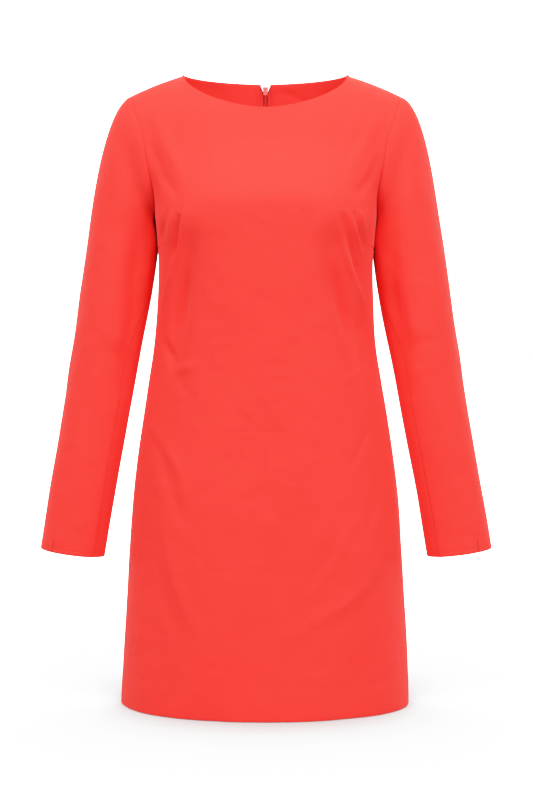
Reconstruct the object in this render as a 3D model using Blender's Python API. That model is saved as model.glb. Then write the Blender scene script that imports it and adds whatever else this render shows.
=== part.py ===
"""A long-sleeved shift dress, filled out as it is worn, hollow and open at neck, cuffs and hem.

Metres, +Z up, front towards -Y, the wearer's left at +X. The origin is in the middle of the neck
opening, level with the tops of the shoulder seams, where the wearer's shoulders hold the dress.

The torso is one smooth surface: at each height a superellipse quarter for the front and one for the
back, whose half-width, depth in front and depth behind come from the tables below. Front and back
halves are cut from that surface, the sleeves from their own rings, and each gets a wall of one
thickness.
"""

import math
from collections import namedtuple

import bmesh
import bpy
import numpy as np
from mathutils import Matrix, Vector

# Driving dimensions.
WALL = 0.0015
SEAM_GAP = 0.0003
SLEEVE_SEAM_GAP = 0.0004
HEM_HEIGHT = -0.879
NECK_HALF_WIDTH = 0.113
FRONT_NECK_DROP = 0.0475
BACK_NECK_DROP = 0.0095
SHOULDER_HALF_WIDTH = 0.188
SHOULDER_HEIGHT = -0.029
SHOULDER_BOW = 0.002
UNDERARM_HEIGHT = -0.195
CREST_FADE_LOW = -0.22
CREST_FADE_HIGH = -0.06
HIP_HEIGHT = -0.500
DART_HEIGHT = -0.234
DART_LENGTH = 0.075
DART_GROOVE = 0.0012
DART_ROW_OFFSETS = (-0.026, -0.0035, 0.0, 0.0035, 0.021)
VENT_LENGTH = 0.019
VENT_HALF_GAP = 0.0008
ZIP_LENGTH = 0.50
ZIP_TAPE_WIDTH = 0.011
ZIP_TAPE_THICKNESS = 0.001
ZIP_TAPE_COLUMN_SHARE = 0.9
ZIP_TAPE_TOP_DROP = 0.0006
SHARP_ANGLE = math.radians(35)
SMALL = 0.0005

# Roundness of the torso's sections and of the neck edge, as superellipse exponents.
CHEST_ROUNDNESS = 2.3
HEM_ROUNDNESS = 2.0
FRONT_NECK_ROUNDNESS = 1.7
BACK_NECK_ROUNDNESS = 1.6

# The armhole is an egg in side view: half-depth in front and behind, and how much fuller it is low down.
ARMHOLE_FRONT = 0.055
ARMHOLE_BACK = 0.052
ARMHOLE_FULLNESS = 0.12

# Grid of each torso panel: columns from the centre to the neck point, then on to the side, and rows;
# then the grid of each sleeve.
NECK_COLUMNS = 7
SHOULDER_COLUMNS = 5
SKIRT_ROWS = 15
ARMHOLE_ROWS = 14
CAP_ROWS = 6
ARM_ROWS = 11
VENT_COLUMN = 6

# Half-width of the torso: to the side seam below the underarm, to the armhole seam above it.
Girth = namedtuple("Girth", "height half_width")
SIDE_GIRTHS = (
    Girth(-0.879, 0.2034),
    Girth(-0.792, 0.1993),
    Girth(-0.706, 0.1948),
    Girth(-0.620, 0.1891),
    Girth(-0.556, 0.1831),
    Girth(-0.493, 0.1743),
    Girth(-0.429, 0.1630),
    Girth(-0.366, 0.1536),
    Girth(-0.303, 0.1496),
    Girth(-0.262, 0.1496),
    Girth(-0.240, 0.1503),
    Girth(-0.216, 0.1524),
    Girth(-0.195, 0.1558),
)
ARMHOLE_GIRTHS = (
    Girth(-0.195, 0.1558),
    Girth(-0.172, 0.1545),
    Girth(-0.141, 0.1580),
    Girth(-0.118, 0.1625),
    Girth(-0.084, 0.1680),
    Girth(-0.063, 0.1753),
    Girth(-0.029, 0.1880),
)

# Depth of the torso before and behind the shoulder line, by the drop below the shoulder's crest.
Profile = namedtuple("Profile", "drop front back")
PROFILES = (
    Profile(0.000, 0.000, 0.000),
    Profile(0.010, 0.027, 0.037),
    Profile(0.030, 0.046, 0.056),
    Profile(0.066, 0.067, 0.073),
    Profile(0.100, 0.080, 0.084),
    Profile(0.150, 0.098, 0.095),
    Profile(0.200, 0.114, 0.102),
    Profile(0.245, 0.124, 0.104),
    Profile(0.290, 0.127, 0.102),
    Profile(0.350, 0.123, 0.098),
    Profile(0.420, 0.119, 0.099),
    Profile(0.500, 0.119, 0.106),
    Profile(0.580, 0.121, 0.114),
    Profile(0.680, 0.123, 0.119),
    Profile(0.780, 0.124, 0.121),
    Profile(0.901, 0.125, 0.122),
)

# Rings of the left sleeve below the underarm: the inner and the outer point of each, and its half-depth.
Ring = namedtuple("Ring", "inner_x inner_z outer_x outer_z half_depth")
SLEEVE_RINGS = (
    Ring(0.1532, -0.232, 0.2462, -0.218, 0.052),
    Ring(0.1604, -0.308, 0.2575, -0.293, 0.050),
    Ring(0.1750, -0.388, 0.2690, -0.372, 0.046),
    Ring(0.1905, -0.469, 0.2820, -0.452, 0.042),
    Ring(0.2060, -0.549, 0.2960, -0.532, 0.038),
    Ring(0.2190, -0.619, 0.3090, -0.603, 0.034),
    Ring(0.2282, -0.669, 0.3186, -0.659, 0.032),
)
SEAM_TWIST = math.radians(46)
SEAM_TWIST_END = 0.45
RING_STEP = 0.02

# Directions in which the sleeve leaves the armhole: over the shoulder, under the arm, and what is
# added at front and back; then the shares of the cap's length over which they hold.
CAP_DIRECTION = np.array((0.90, 0.0, -0.43))
UNDERARM_DIRECTION = np.array((0.12, 0.0, -0.99))
SIDE_SPREAD = np.array((0.55, 0.30, 0.10))
CAP_LEAVE = 0.19
UNDERARM_LEAVE = 0.33
CAP_ARRIVE = 0.33

# Largest folds: a straight run over the panel, from one end to the other, its half-width, and how
# far it stands out (or in, where negative).
Fold = namedtuple("Fold", "x0 z0 x1 z1 half_width push")
FRONT_FOLDS = (
    Fold(-0.104, -0.187, -0.138, -0.310, 0.011, 0.0026),
    Fold(-0.126, -0.190, -0.134, -0.232, 0.008, 0.0018),
    Fold(0.094, -0.190, 0.139, -0.345, 0.012, 0.0026),
    Fold(0.114, -0.198, 0.134, -0.290, 0.009, 0.0018),
    Fold(-0.166, -0.080, -0.108, -0.160, 0.013, -0.0020),
    Fold(0.166, -0.080, 0.110, -0.150, 0.013, -0.0020),
    Fold(-0.145, -0.365, -0.115, -0.405, 0.012, -0.0022),
    Fold(-0.130, -0.520, -0.088, -0.770, 0.026, 0.0030),
    Fold(0.160, -0.620, 0.040, -0.780, 0.028, 0.0030),
)
BACK_FOLDS = (
    Fold(-0.080, -0.300, -0.135, -0.350, 0.014, -0.0022),
    Fold(0.070, -0.315, 0.132, -0.360, 0.014, -0.0024),
    Fold(-0.110, -0.500, -0.140, -0.760, 0.026, 0.0030),
    Fold(0.095, -0.540, 0.130, -0.790, 0.028, 0.0028),
)

# The zip's slider and pull, in a frame on the back's surface: across, out of the cloth, and up the cloth.
SLIDER_DROP = 0.0065
SLIDER_HALF_HEIGHT = 0.0050
SLIDER_TOP_HALF_WIDTH = 0.0031
SLIDER_LOW_HALF_WIDTH = 0.0024
SLIDER_INSIDE = -0.0024
SLIDER_OUTSIDE = 0.0007
SLIDER_ROUNDING = 0.0005
BAIL_HALF_WIDTH = 0.0006
BAIL_HALF_SPAN = 0.0030
BAIL_BAR = 0.0008
BAIL_OUTSIDE = 0.0034
BAIL_SINK = 0.0008
PIVOT_OUT = 0.0019
PIVOT_UP = -0.0009
PULL_THICKNESS = 0.0009
PULL_EYE_HALF_WIDTH = 0.0010
PULL_LEAN = math.radians(3)
NOTCH_DEPTH = 0.019

# Outline of the pull below its pivot: how far down, and its half-width there. One cell of its grid
# is the eye.
PullRow = namedtuple("PullRow", "down half_width")
PULL_EYE_ROWS = (PullRow(-0.00045, 0.0018), PullRow(0.00045, 0.0020), PullRow(0.0046, 0.0021))
PULL_EYE_CELL = (1, 1)
PULL_TAB_ROWS = (
    PullRow(0.0060, 0.0021),
    PullRow(0.0130, 0.0024),
    PullRow(0.0200, 0.0027),
    PullRow(0.0215, 0.0024),
    PullRow(0.0223, 0.0015),
)

# Half of the gap at the top of the zip, by the share of the notch's depth: between the back halves,
# and between the tapes, which close up to the slider's sides.
Notch = namedtuple("Notch", "share half_width")
CLOTH_NOTCH = (
    Notch(0.00, 0.0080),
    Notch(0.25, 0.0058),
    Notch(0.55, 0.0043),
    Notch(0.75, 0.0030),
    Notch(1.00, 0.0000),
)
TAPE_NOTCH = (
    Notch(0.00, 0.0034),
    Notch(0.50, 0.0032),
    Notch(1.00, 0.0000),
)

CLOTH_COLOUR = (0.93, 0.060, 0.040, 1.0)
TAPE_COLOUR = (0.80, 0.060, 0.050, 1.0)
SLIDER_COLOUR = (0.90, 0.27, 0.26, 1.0)
CLOTH_ROUGHNESS = 0.75
SLIDER_ROUGHNESS = 0.35


def natural_spline(places, values):
    """Give a function that passes smoothly through the values at the places, which run upwards."""
    x = np.array(places, float)
    y = np.array(values, float)
    gap = np.diff(x)
    count = len(x)
    matrix = np.eye(count)
    right = np.zeros(count)
    for i in range(1, count - 1):
        matrix[i, i - 1] = gap[i - 1]
        matrix[i, i] = 2 * (gap[i - 1] + gap[i])
        matrix[i, i + 1] = gap[i]
        right[i] = 6 * ((y[i + 1] - y[i]) / gap[i] - (y[i] - y[i - 1]) / gap[i - 1])
    bend = np.linalg.solve(matrix, right)

    def value(at):
        at = np.clip(np.asarray(at, float), x[0], x[-1])
        i = np.clip(np.searchsorted(x, at) - 1, 0, count - 2)
        low = (x[i + 1] - at) / gap[i]
        high = 1 - low
        curve = (low**3 - low) * bend[i] + (high**3 - high) * bend[i + 1]
        return low * y[i] + high * y[i + 1] + curve * gap[i] ** 2 / 6

    return value


side_width = natural_spline([g.height for g in SIDE_GIRTHS], [g.half_width for g in SIDE_GIRTHS])
armhole_width = natural_spline(
    [g.height for g in ARMHOLE_GIRTHS], [g.half_width for g in ARMHOLE_GIRTHS]
)
depth_splines = {
    "front": natural_spline([math.sqrt(p.drop) for p in PROFILES], [p.front for p in PROFILES]),
    "back": natural_spline([math.sqrt(p.drop) for p in PROFILES], [p.back for p in PROFILES]),
}
SHOULDER_SLOPE = -SHOULDER_HEIGHT / (SHOULDER_HALF_WIDTH - NECK_HALF_WIDTH)
CREST_RISE = SHOULDER_SLOPE * NECK_HALF_WIDTH / 2


def half_width_at(z):
    """Give the torso's half-width at a height."""
    return np.where(np.asarray(z) > UNDERARM_HEIGHT, armhole_width(z), side_width(z))


def smooth_step(low, high, at):
    """Rise smoothly from 0 at low to 1 at high."""
    share = np.clip((at - low) / (high - low), 0, 1)
    return share * share * (3 - 2 * share)


def crest_height(x):
    """Give the height of the shoulder's crest: slightly bowed along the seams, round where the neck is."""
    across = np.abs(x)
    share = np.clip((across - NECK_HALF_WIDTH) / (SHOULDER_HALF_WIDTH - NECK_HALF_WIDTH), 0, 1)
    straight = -SHOULDER_SLOPE * (across - NECK_HALF_WIDTH) + SHOULDER_BOW * 4 * share * (1 - share)
    rounded = CREST_RISE * (1 - (across / NECK_HALF_WIDTH) ** 2)
    return np.where(across > NECK_HALF_WIDTH, straight, rounded)


def centre_depth(face, x, z):
    """Give the torso's depth at its centre line, as it is at the drop of (x, z) below the crest."""
    near_shoulder = smooth_step(CREST_FADE_LOW, CREST_FADE_HIGH, z)
    drop = crest_height(x) * near_shoulder + CREST_RISE * (1 - near_shoulder) - z
    return depth_splines[face](np.sqrt(np.maximum(drop, 0)))


def armhole_depth(face, z):
    """Give how far the armhole seam lies before or behind the shoulder line at a height."""
    cosine = np.clip(1 - 2 * (z - UNDERARM_HEIGHT) / (SHOULDER_HEIGHT - UNDERARM_HEIGHT), -1, 1)
    reach = ARMHOLE_FRONT if face == "front" else ARMHOLE_BACK
    return reach * np.sqrt(1 - cosine**2) * (1 + ARMHOLE_FULLNESS * cosine)


def roundness_at(z):
    """Give the exponent of the section at a height: boxier at the chest, an ellipse at the hem."""
    return CHEST_ROUNDNESS + (HEM_ROUNDNESS - CHEST_ROUNDNESS) * smooth_step(-HIP_HEIGHT, -HEM_HEIGHT, -z)


def section_reach(face, z):
    """Give the half-width of the whole section's superellipse, of which the armhole cuts off the end."""
    inner = np.minimum(z, SHOULDER_HEIGHT - SMALL)
    edge = half_width_at(inner)
    armhole = armhole_depth(face, inner) / centre_depth(face, edge, inner)
    share = np.where(inner > UNDERARM_HEIGHT, armhole, 0)
    power = roundness_at(inner)
    return edge / (1 - share**power) ** (1 / power) + np.maximum(z - inner, 0)


def torso_point(face, across, z):
    """Give the torso's outer point at a share of the way from the centre to the panel's edge."""
    across = np.asarray(across, float)
    z = np.asarray(z, float)
    whole = section_reach(face, z)
    edge = half_width_at(z)
    power = roundness_at(z)
    edge_angle = np.arccos(np.clip(edge / whole, 0, 1) ** (power / 2))
    angle = math.pi / 2 - np.abs(across) * (math.pi / 2 - edge_angle)
    x = whole * np.clip(np.cos(angle), 0, 1) ** (2 / power)
    y = centre_depth(face, x, z) * np.clip(np.sin(angle), 0, 1) ** (2 / power)
    side = -1 if face == "front" else 1
    return np.stack([np.sign(across) * x, side * y, z + 0 * x], axis=-1)


def neck_height(face, x):
    """Give the height of the neck edge, and beyond the neck points that of the shoulder seam."""
    drop = FRONT_NECK_DROP if face == "front" else BACK_NECK_DROP
    power = FRONT_NECK_ROUNDNESS if face == "front" else BACK_NECK_ROUNDNESS
    share = np.clip(np.abs(x) / NECK_HALF_WIDTH, 0, 1)
    neck = -drop * (1 - share**power) ** (1 / power)
    return np.where(np.abs(x) < NECK_HALF_WIDTH, neck, crest_height(x))


def top_of_column(face, across):
    """Find the height at which a column of the panel meets the neck edge or the shoulder seam."""
    low = np.full(np.shape(across), SHOULDER_HEIGHT - FRONT_NECK_DROP)
    high = np.full(np.shape(across), SHOULDER_BOW)
    for _ in range(50):
        middle = (low + high) / 2
        below = middle < neck_height(face, torso_point(face, across, middle)[..., 0])
        low = np.where(below, middle, low)
        high = np.where(below, high, middle)
    return low


def panel_columns(face):
    """Give the columns' places from the centre (0) to the side (1), one of them at the neck point."""
    low = 0.2
    high = 1.0
    for _ in range(50):
        middle = (low + high) / 2
        inside = torso_point(face, middle, 0.0)[0] < NECK_HALF_WIDTH
        low, high = (middle, high) if inside else (low, middle)
    neck = high * np.sin(np.linspace(0, math.pi / 2, NECK_COLUMNS + 1))
    shoulder = np.linspace(high, 1, SHOULDER_COLUMNS + 1)
    return np.concatenate([neck, shoulder[1:]])


def panel_rows():
    """Give the heights below the underarm, then the shares of the way from there to the panel's top."""
    dart = DART_HEIGHT + np.array(DART_ROW_OFFSETS)
    skirt = np.linspace(HEM_HEIGHT, dart[0], SKIRT_ROWS + 1)
    armhole = (1 - np.cos(np.linspace(0, math.pi, ARMHOLE_ROWS + 1))) / 2
    return np.concatenate([skirt, dart[1:]]), armhole


def fold_push(face, points):
    """Give how far the folds and darts push each point of a panel out of the smooth surface."""
    x = points[..., 0]
    z = points[..., 2]
    push = np.zeros(x.shape)
    for fold in FRONT_FOLDS if face == "front" else BACK_FOLDS:
        run = np.array((fold.x1 - fold.x0, fold.z1 - fold.z0))
        length = np.linalg.norm(run)
        along = ((x - fold.x0) * run[0] + (z - fold.z0) * run[1]) / length**2
        off = ((x - fold.x0) * run[1] - (z - fold.z0) * run[0]) / length
        ends = np.clip(along, 0, 1) * (1 - np.clip(along, 0, 1)) * 4
        push += fold.push * np.sqrt(ends) * np.exp(-((off / fold.half_width) ** 2))
    if face == "front":
        inward = half_width_at(z) - np.abs(x)
        fade = np.clip(1 - inward / DART_LENGTH, 0, 1)
        push -= DART_GROOVE * fade * (np.abs(z - DART_HEIGHT) < SMALL)
    return push


def panel_grid(face):
    """Give a half panel's smooth outer points: rows from the hem up, columns from centre to side."""
    across = panel_columns(face)
    below, above = panel_rows()
    top = top_of_column(face, across)
    top[-1] = SHOULDER_HEIGHT
    heights = [np.full(across.shape, z) for z in below]
    heights += [UNDERARM_HEIGHT + share * (top - UNDERARM_HEIGHT) for share in above]
    points = np.array([torso_point(face, across, z) for z in heights])
    points[-1, NECK_COLUMNS:, 1] = 0
    points[: len(below) + 1, -1, 1] = 0
    return points


def unit(vectors):
    """Scale each vector to length 1."""
    return vectors / np.maximum(np.linalg.norm(vectors, axis=-1, keepdims=True), 1e-12)


def grid_normals(points):
    """Give the outward normals of a grid whose columns run anticlockwise from above and rows run up."""
    along = np.gradient(points, axis=1)
    up = np.gradient(points, axis=0)
    return unit(np.cross(along, up))


def mirrored(vectors):
    """Mirror points or normals to the wearer's other side."""
    return vectors * np.array((-1.0, 1.0, 1.0))


def torso_grids():
    """Give both half panels' outer points and normals, with the normals shared where panels meet."""
    front = panel_grid("front")
    back = panel_grid("back")
    whole_front = np.concatenate([mirrored(front[:, :0:-1]), front], axis=1)
    whole_back = np.concatenate([back[:, ::-1], mirrored(back[:, 1:])], axis=1)
    middle = front.shape[1] - 1
    front_normals = grid_normals(whole_front)[:, middle:]
    back_normals = grid_normals(whole_back)[:, : middle + 1][:, ::-1]
    side = unit(front_normals[:, -1] + back_normals[:, -1])
    armhole_start = front.shape[0] - ARMHOLE_ROWS
    front_normals[:armhole_start, -1] = side[:armhole_start]
    back_normals[:armhole_start, -1] = side[:armhole_start]
    seam = unit(front_normals[-1, NECK_COLUMNS:] + back_normals[-1, NECK_COLUMNS:])
    front_normals[-1, NECK_COLUMNS:] = seam
    back_normals[-1, NECK_COLUMNS:] = seam
    return front, front_normals, back, back_normals


def sleeve_direction(turn):
    """Give the left sleeve's direction at the armhole, by the turn from the underarm forwards."""
    over = (1 - np.cos(turn))[:, None] / 2 * CAP_DIRECTION
    under = (1 + np.cos(turn))[:, None] / 2 * UNDERARM_DIRECTION
    sideways = np.abs(np.sin(turn))
    spread = np.stack([sideways, -np.sin(turn), sideways], axis=-1) * SIDE_SPREAD
    return unit(over + under + spread)


def ring_points(share, turn):
    """Give the left sleeve's points on the ring at a share of the way from underarm to cuff."""
    places = np.arange(len(SLEEVE_RINGS)) / (len(SLEEVE_RINGS) - 1)
    columns = [natural_spline(places, column)(share) for column in zip(*SLEEVE_RINGS)]
    ring = Ring(*columns)
    inner = np.array((ring.inner_x, 0.0, ring.inner_z))
    outer = np.array((ring.outer_x, 0.0, ring.outer_z))
    forward = np.array((0.0, -ring.half_depth, 0.0))
    twist = SEAM_TWIST * smooth_step(0.0, SEAM_TWIST_END, share)
    angle = (turn + twist)[:, None]
    return (inner + outer) / 2 - np.cos(angle) * (outer - inner) / 2 + np.sin(angle) * forward


def sleeve_grid(armhole):
    """Give the left sleeve's outer points: rows from armhole to cuff, columns round from the seam."""
    turn = np.linspace(0, 2 * math.pi, len(armhole))
    start = armhole + np.array((SLEEVE_SEAM_GAP, 0, 0))
    first = ring_points(0.0, turn)
    down = unit(ring_points(RING_STEP, turn) - first)
    length = np.linalg.norm(first - start, axis=-1, keepdims=True)
    leave_share = UNDERARM_LEAVE + (CAP_LEAVE - UNDERARM_LEAVE) * (1 - np.cos(turn))[:, None] / 2
    leave = start + sleeve_direction(turn) * length * leave_share
    arrive = first - down * length * CAP_ARRIVE
    rows = []
    for t in np.linspace(0, 1, CAP_ROWS + 1):
        rows.append(
            (1 - t) ** 3 * start + 3 * t * (1 - t) ** 2 * leave + 3 * t**2 * (1 - t) * arrive + t**3 * first
        )
    outer_length = abs(SLEEVE_RINGS[-1].outer_z - SLEEVE_RINGS[0].outer_z)
    vent_share = 1 - VENT_LENGTH / outer_length
    shares = np.append(np.linspace(0, vent_share, ARM_ROWS + 1)[1:], 1.0)
    rows += [ring_points(share, turn) for share in shares]
    return np.array(rows)


def sleeve_normals(points):
    """Give the sleeve's outward normals, smooth across its own seam."""
    wrapped = np.concatenate([points[:, -2:-1], points, points[:, 1:2]], axis=1)
    return -grid_normals(wrapped)[:, 1:-1]


def plain_material(name, colour, roughness):
    """Make a plain material of one colour."""
    material = bpy.data.materials.new(name)
    material.use_nodes = True
    shader = material.node_tree.nodes["Principled BSDF"]
    shader.inputs["Base Color"].default_value = colour
    shader.inputs["Roughness"].default_value = roughness
    return material


def add_object(name, shape, material):
    """Put a bmesh into the scene as one smooth-shaded object."""
    mesh = bpy.data.meshes.new(name)
    shape.to_mesh(mesh)
    shape.free()
    mesh.shade_smooth()
    mesh.set_sharp_from_angle(angle=SHARP_ANGLE)
    mesh.materials.append(material)
    thing = bpy.data.objects.new(name, mesh)
    bpy.context.scene.collection.objects.link(thing)
    return thing


def wall_object(name, outer, inward, quads, material):
    """Close a sheet of quads into a wall between its outer points and the same points moved inwards."""
    shape = bmesh.new()
    front = [shape.verts.new(p) for p in outer]
    rear = [shape.verts.new(p) for p in outer + inward]
    edges = set()
    for a, b, c, d in quads:
        for p, q, r in ((a, b, c), (a, c, d)):
            shape.faces.new((front[p], front[q], front[r]))
            shape.faces.new((rear[r], rear[q], rear[p]))
            for edge in ((p, q), (q, r), (r, p)):
                edges.add(edge)
    for p, q in sorted(edges):
        if (q, p) not in edges:
            shape.faces.new((front[q], front[p], rear[p]))
            shape.faces.new((front[q], rear[p], rear[q]))
    return add_object(name, shape, material)


def grid_quads(rows, columns):
    """List the quads of a grid, facing outwards where columns run anticlockwise and rows run up."""
    corner = np.arange(rows * columns).reshape(rows, columns)
    return [
        (corner[j, i], corner[j, i + 1], corner[j + 1, i + 1], corner[j + 1, i])
        for j in range(rows - 1)
        for i in range(columns - 1)
    ]


def inward_vectors(normals):
    """Give the step from each outer point to the wall's inner side."""
    return -normals * WALL


def seam_clearance(points, face):
    """Move a panel's side and shoulder edges half a seam gap back from the seam."""
    moved = points.copy()
    back_off = (-1 if face == "front" else 1) * SEAM_GAP / 2
    below = points.shape[0] - ARMHOLE_ROWS
    moved[:below, -1, 1] += back_off
    moved[-1, NECK_COLUMNS:, 1] += back_off
    return moved


def notch_half_width(notch, top, z):
    """Give half of the gap along the centre back at a height: the zip's notch, then the seam gap."""
    share = np.clip((top - z) / NOTCH_DEPTH, 0, 1)
    opened = np.interp(share, [n.share for n in notch], [n.half_width for n in notch])
    return np.maximum(opened, SEAM_GAP / 2)


def build_front(grid, normals, material):
    """Build the front, one piece from side seam to side seam."""
    half = seam_clearance(grid, "front")
    outer = np.concatenate([mirrored(half[:, :0:-1]), half], axis=1)
    directions = np.concatenate([mirrored(normals[:, :0:-1]), normals], axis=1)
    outer = outer + directions * fold_push("front", outer)[..., None]
    rows, columns = outer.shape[:2]
    return wall_object(
        "front",
        outer.reshape(-1, 3),
        inward_vectors(directions).reshape(-1, 3),
        grid_quads(rows, columns),
        material,
    )


def back_half(grid, normals, side):
    """Give one back half's outer points and wall steps: side is 1 for the left, -1 for the right."""
    half = seam_clearance(grid, "back")
    top = half[-1, 0, 2]
    half[:, 0, 0] = notch_half_width(CLOTH_NOTCH, top, half[:, 0, 2])
    outer = half if side > 0 else mirrored(half)
    directions = normals if side > 0 else mirrored(normals)
    outer = outer + directions * fold_push("back", outer)[..., None]
    steps = inward_vectors(directions)
    steps[:, 0, 0] = 0
    return outer, steps


def build_back(name, grid, normals, side, material):
    """Build one half of the back."""
    outer, steps = back_half(grid, normals, side)
    if side > 0:
        outer = outer[:, ::-1]
        steps = steps[:, ::-1]
    rows, columns = outer.shape[:2]
    quads = grid_quads(rows, columns)
    return wall_object(name, outer.reshape(-1, 3), steps.reshape(-1, 3), quads, material)


def build_zip_tape(name, grid, normals, side, material):
    """Build one half of the zip's tape, laid on the inside of a back half along the centre seam."""
    outer, steps = back_half(grid, normals, side)
    inner = outer + steps
    top = outer[-1, 0, 2]
    rows = [j for j in range(len(inner)) if inner[j, 0, 2] > top - ZIP_LENGTH]
    edge = inner[rows, 0]
    edge[:, 0] = side * notch_half_width(TAPE_NOTCH, top, edge[:, 2])
    across = inner[rows, 1] - edge
    share = np.minimum(ZIP_TAPE_WIDTH / np.abs(across[:, :1]), ZIP_TAPE_COLUMN_SHARE)
    side_edge = edge + across * share
    away = unit(steps[rows, 0])
    sheet = np.stack([edge, side_edge], axis=1)
    lift = np.stack([away, away], axis=1)
    sheet = sheet + lift * SEAM_GAP
    sheet[-1] -= np.array((0, 0, ZIP_TAPE_TOP_DROP))
    if side > 0:
        sheet = sheet[:, ::-1]
    return wall_object(
        name,
        sheet.reshape(-1, 3),
        (lift * ZIP_TAPE_THICKNESS).reshape(-1, 3),
        grid_quads(len(rows), 2),
        material,
    )


def build_sleeve(name, side, armhole, armhole_normals, material):
    """Build one sleeve: a tube with its seam at the inner front and a slit at the cuff."""
    points = sleeve_grid(armhole)
    normals = sleeve_normals(points)
    agreement = np.clip((armhole_normals * normals[0]).sum(axis=-1, keepdims=True), 0, 1)
    normals[0] = unit(normals[0] + agreement * armhole_normals)
    around = unit(points[:, 1] - points[:, 0])
    points[:, 0] += around * SEAM_GAP / 2
    back_around = unit(points[:, -2] - points[:, -1])
    points[:, -1] += back_around * SEAM_GAP / 2
    steps = inward_vectors(normals)
    if side < 0:
        points = mirrored(points)
        steps = mirrored(steps)
    rows, columns = points.shape[:2]
    outer = points.reshape(-1, 3)
    inward = steps.reshape(-1, 3)
    split = (rows - 1) * columns + VENT_COLUMN
    opened = unit(points[-1, VENT_COLUMN + 1] - points[-1, VENT_COLUMN - 1]) * VENT_HALF_GAP
    outer = np.vstack([outer, outer[split] + opened])
    inward = np.vstack([inward, inward[split]])
    outer[split] -= opened
    quads = []
    for a, b, c, d in grid_quads(rows, columns):
        if d == split:
            d = len(outer) - 1
        quads.append((a, b, c, d) if side < 0 else (b, a, d, c))
    return wall_object(name, outer, inward, quads, material)


def zip_frame(grid):
    """Give the frame on the back's surface at the slider: its place, and its turn about the X axis."""
    top = grid[-1, 0, 2]
    above = torso_point("back", 0.0, top - SLIDER_DROP + SLIDER_HALF_HEIGHT)
    below = torso_point("back", 0.0, top - SLIDER_DROP - SLIDER_HALF_HEIGHT)
    place = torso_point("back", 0.0, top - SLIDER_DROP)
    slope = math.atan2(below[1] - above[1], above[2] - below[2])
    return Matrix.Translation(Vector(place)) @ Matrix.Rotation(slope, 4, "X")


def extruded(outline, half_width):
    """Give a bmesh of an outline in the YZ plane, drawn out to both sides along X."""
    shape = bmesh.new()
    left = [shape.verts.new((-half_width, y, z)) for y, z in outline]
    face = shape.faces.new(left)
    moved = bmesh.ops.extrude_face_region(shape, geom=[face])["geom"]
    right = [v for v in moved if isinstance(v, bmesh.types.BMVert)]
    bmesh.ops.translate(shape, vec=(2 * half_width, 0, 0), verts=right)
    bmesh.ops.recalc_face_normals(shape, faces=shape.faces)
    return shape


def build_slider(frame, material):
    """Build the slider: a tapered, rounded block in the cloth's plane, and its bail behind it."""
    shape = bmesh.new()
    bmesh.ops.create_cube(shape, size=2.0)
    for vertex in shape.verts:
        low = vertex.co.z < 0
        vertex.co.x *= SLIDER_LOW_HALF_WIDTH if low else SLIDER_TOP_HALF_WIDTH
        vertex.co.y = SLIDER_INSIDE if vertex.co.y < 0 else SLIDER_OUTSIDE
        vertex.co.z *= SLIDER_HALF_HEIGHT
    bmesh.ops.bevel(
        shape, geom=shape.edges[:], offset=SLIDER_ROUNDING, segments=2, profile=0.5, affect="EDGES"
    )
    body = add_object("zip_slider", shape, material)
    span = BAIL_HALF_SPAN
    bar = BAIL_BAR
    foot = SLIDER_OUTSIDE - BAIL_SINK
    bail_outline = (
        (foot, span),
        (BAIL_OUTSIDE - bar, span),
        (BAIL_OUTSIDE, span - bar),
        (BAIL_OUTSIDE, bar - span),
        (BAIL_OUTSIDE - bar, -span),
        (foot, -span),
        (foot, bar - span),
        (BAIL_OUTSIDE - bar, bar - span),
        (BAIL_OUTSIDE - bar, span - bar),
        (foot, span - bar),
    )
    bail = add_object("bail_cutter", extruded(bail_outline, BAIL_HALF_WIDTH), material)
    union = body.modifiers.new("bail", "BOOLEAN")
    union.operation = "UNION"
    union.object = bail
    bail.hide_render = True
    bail.display_type = "WIRE"
    body.matrix_world = frame
    bail.matrix_world = frame
    return body


def build_pull(frame, material):
    """Build the pull tab, with its origin on the axis on which it swings in the bail."""
    rows = PULL_EYE_ROWS + PULL_TAB_ROWS
    columns = 4
    points = []
    for row in rows:
        for x in (-row.half_width, -PULL_EYE_HALF_WIDTH, PULL_EYE_HALF_WIDTH, row.half_width):
            points.append((x, PULL_THICKNESS / 2, -row.down))
    outer = np.array(points)
    quads = []
    for j in range(len(rows) - 1):
        for i in range(columns - 1):
            if (j, i) != PULL_EYE_CELL:
                a = columns * j + i
                quads.append((a, a + 1, a + columns + 1, a + columns))
    inward = np.tile((0.0, -PULL_THICKNESS, 0.0), (len(outer), 1))
    pull = wall_object("zip_pull", outer, inward, quads, material)
    pivot = Matrix.Translation((0, PIVOT_OUT, PIVOT_UP))
    pull.matrix_world = frame @ pivot @ Matrix.Rotation(-PULL_LEAN, 4, "X")
    return pull


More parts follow.
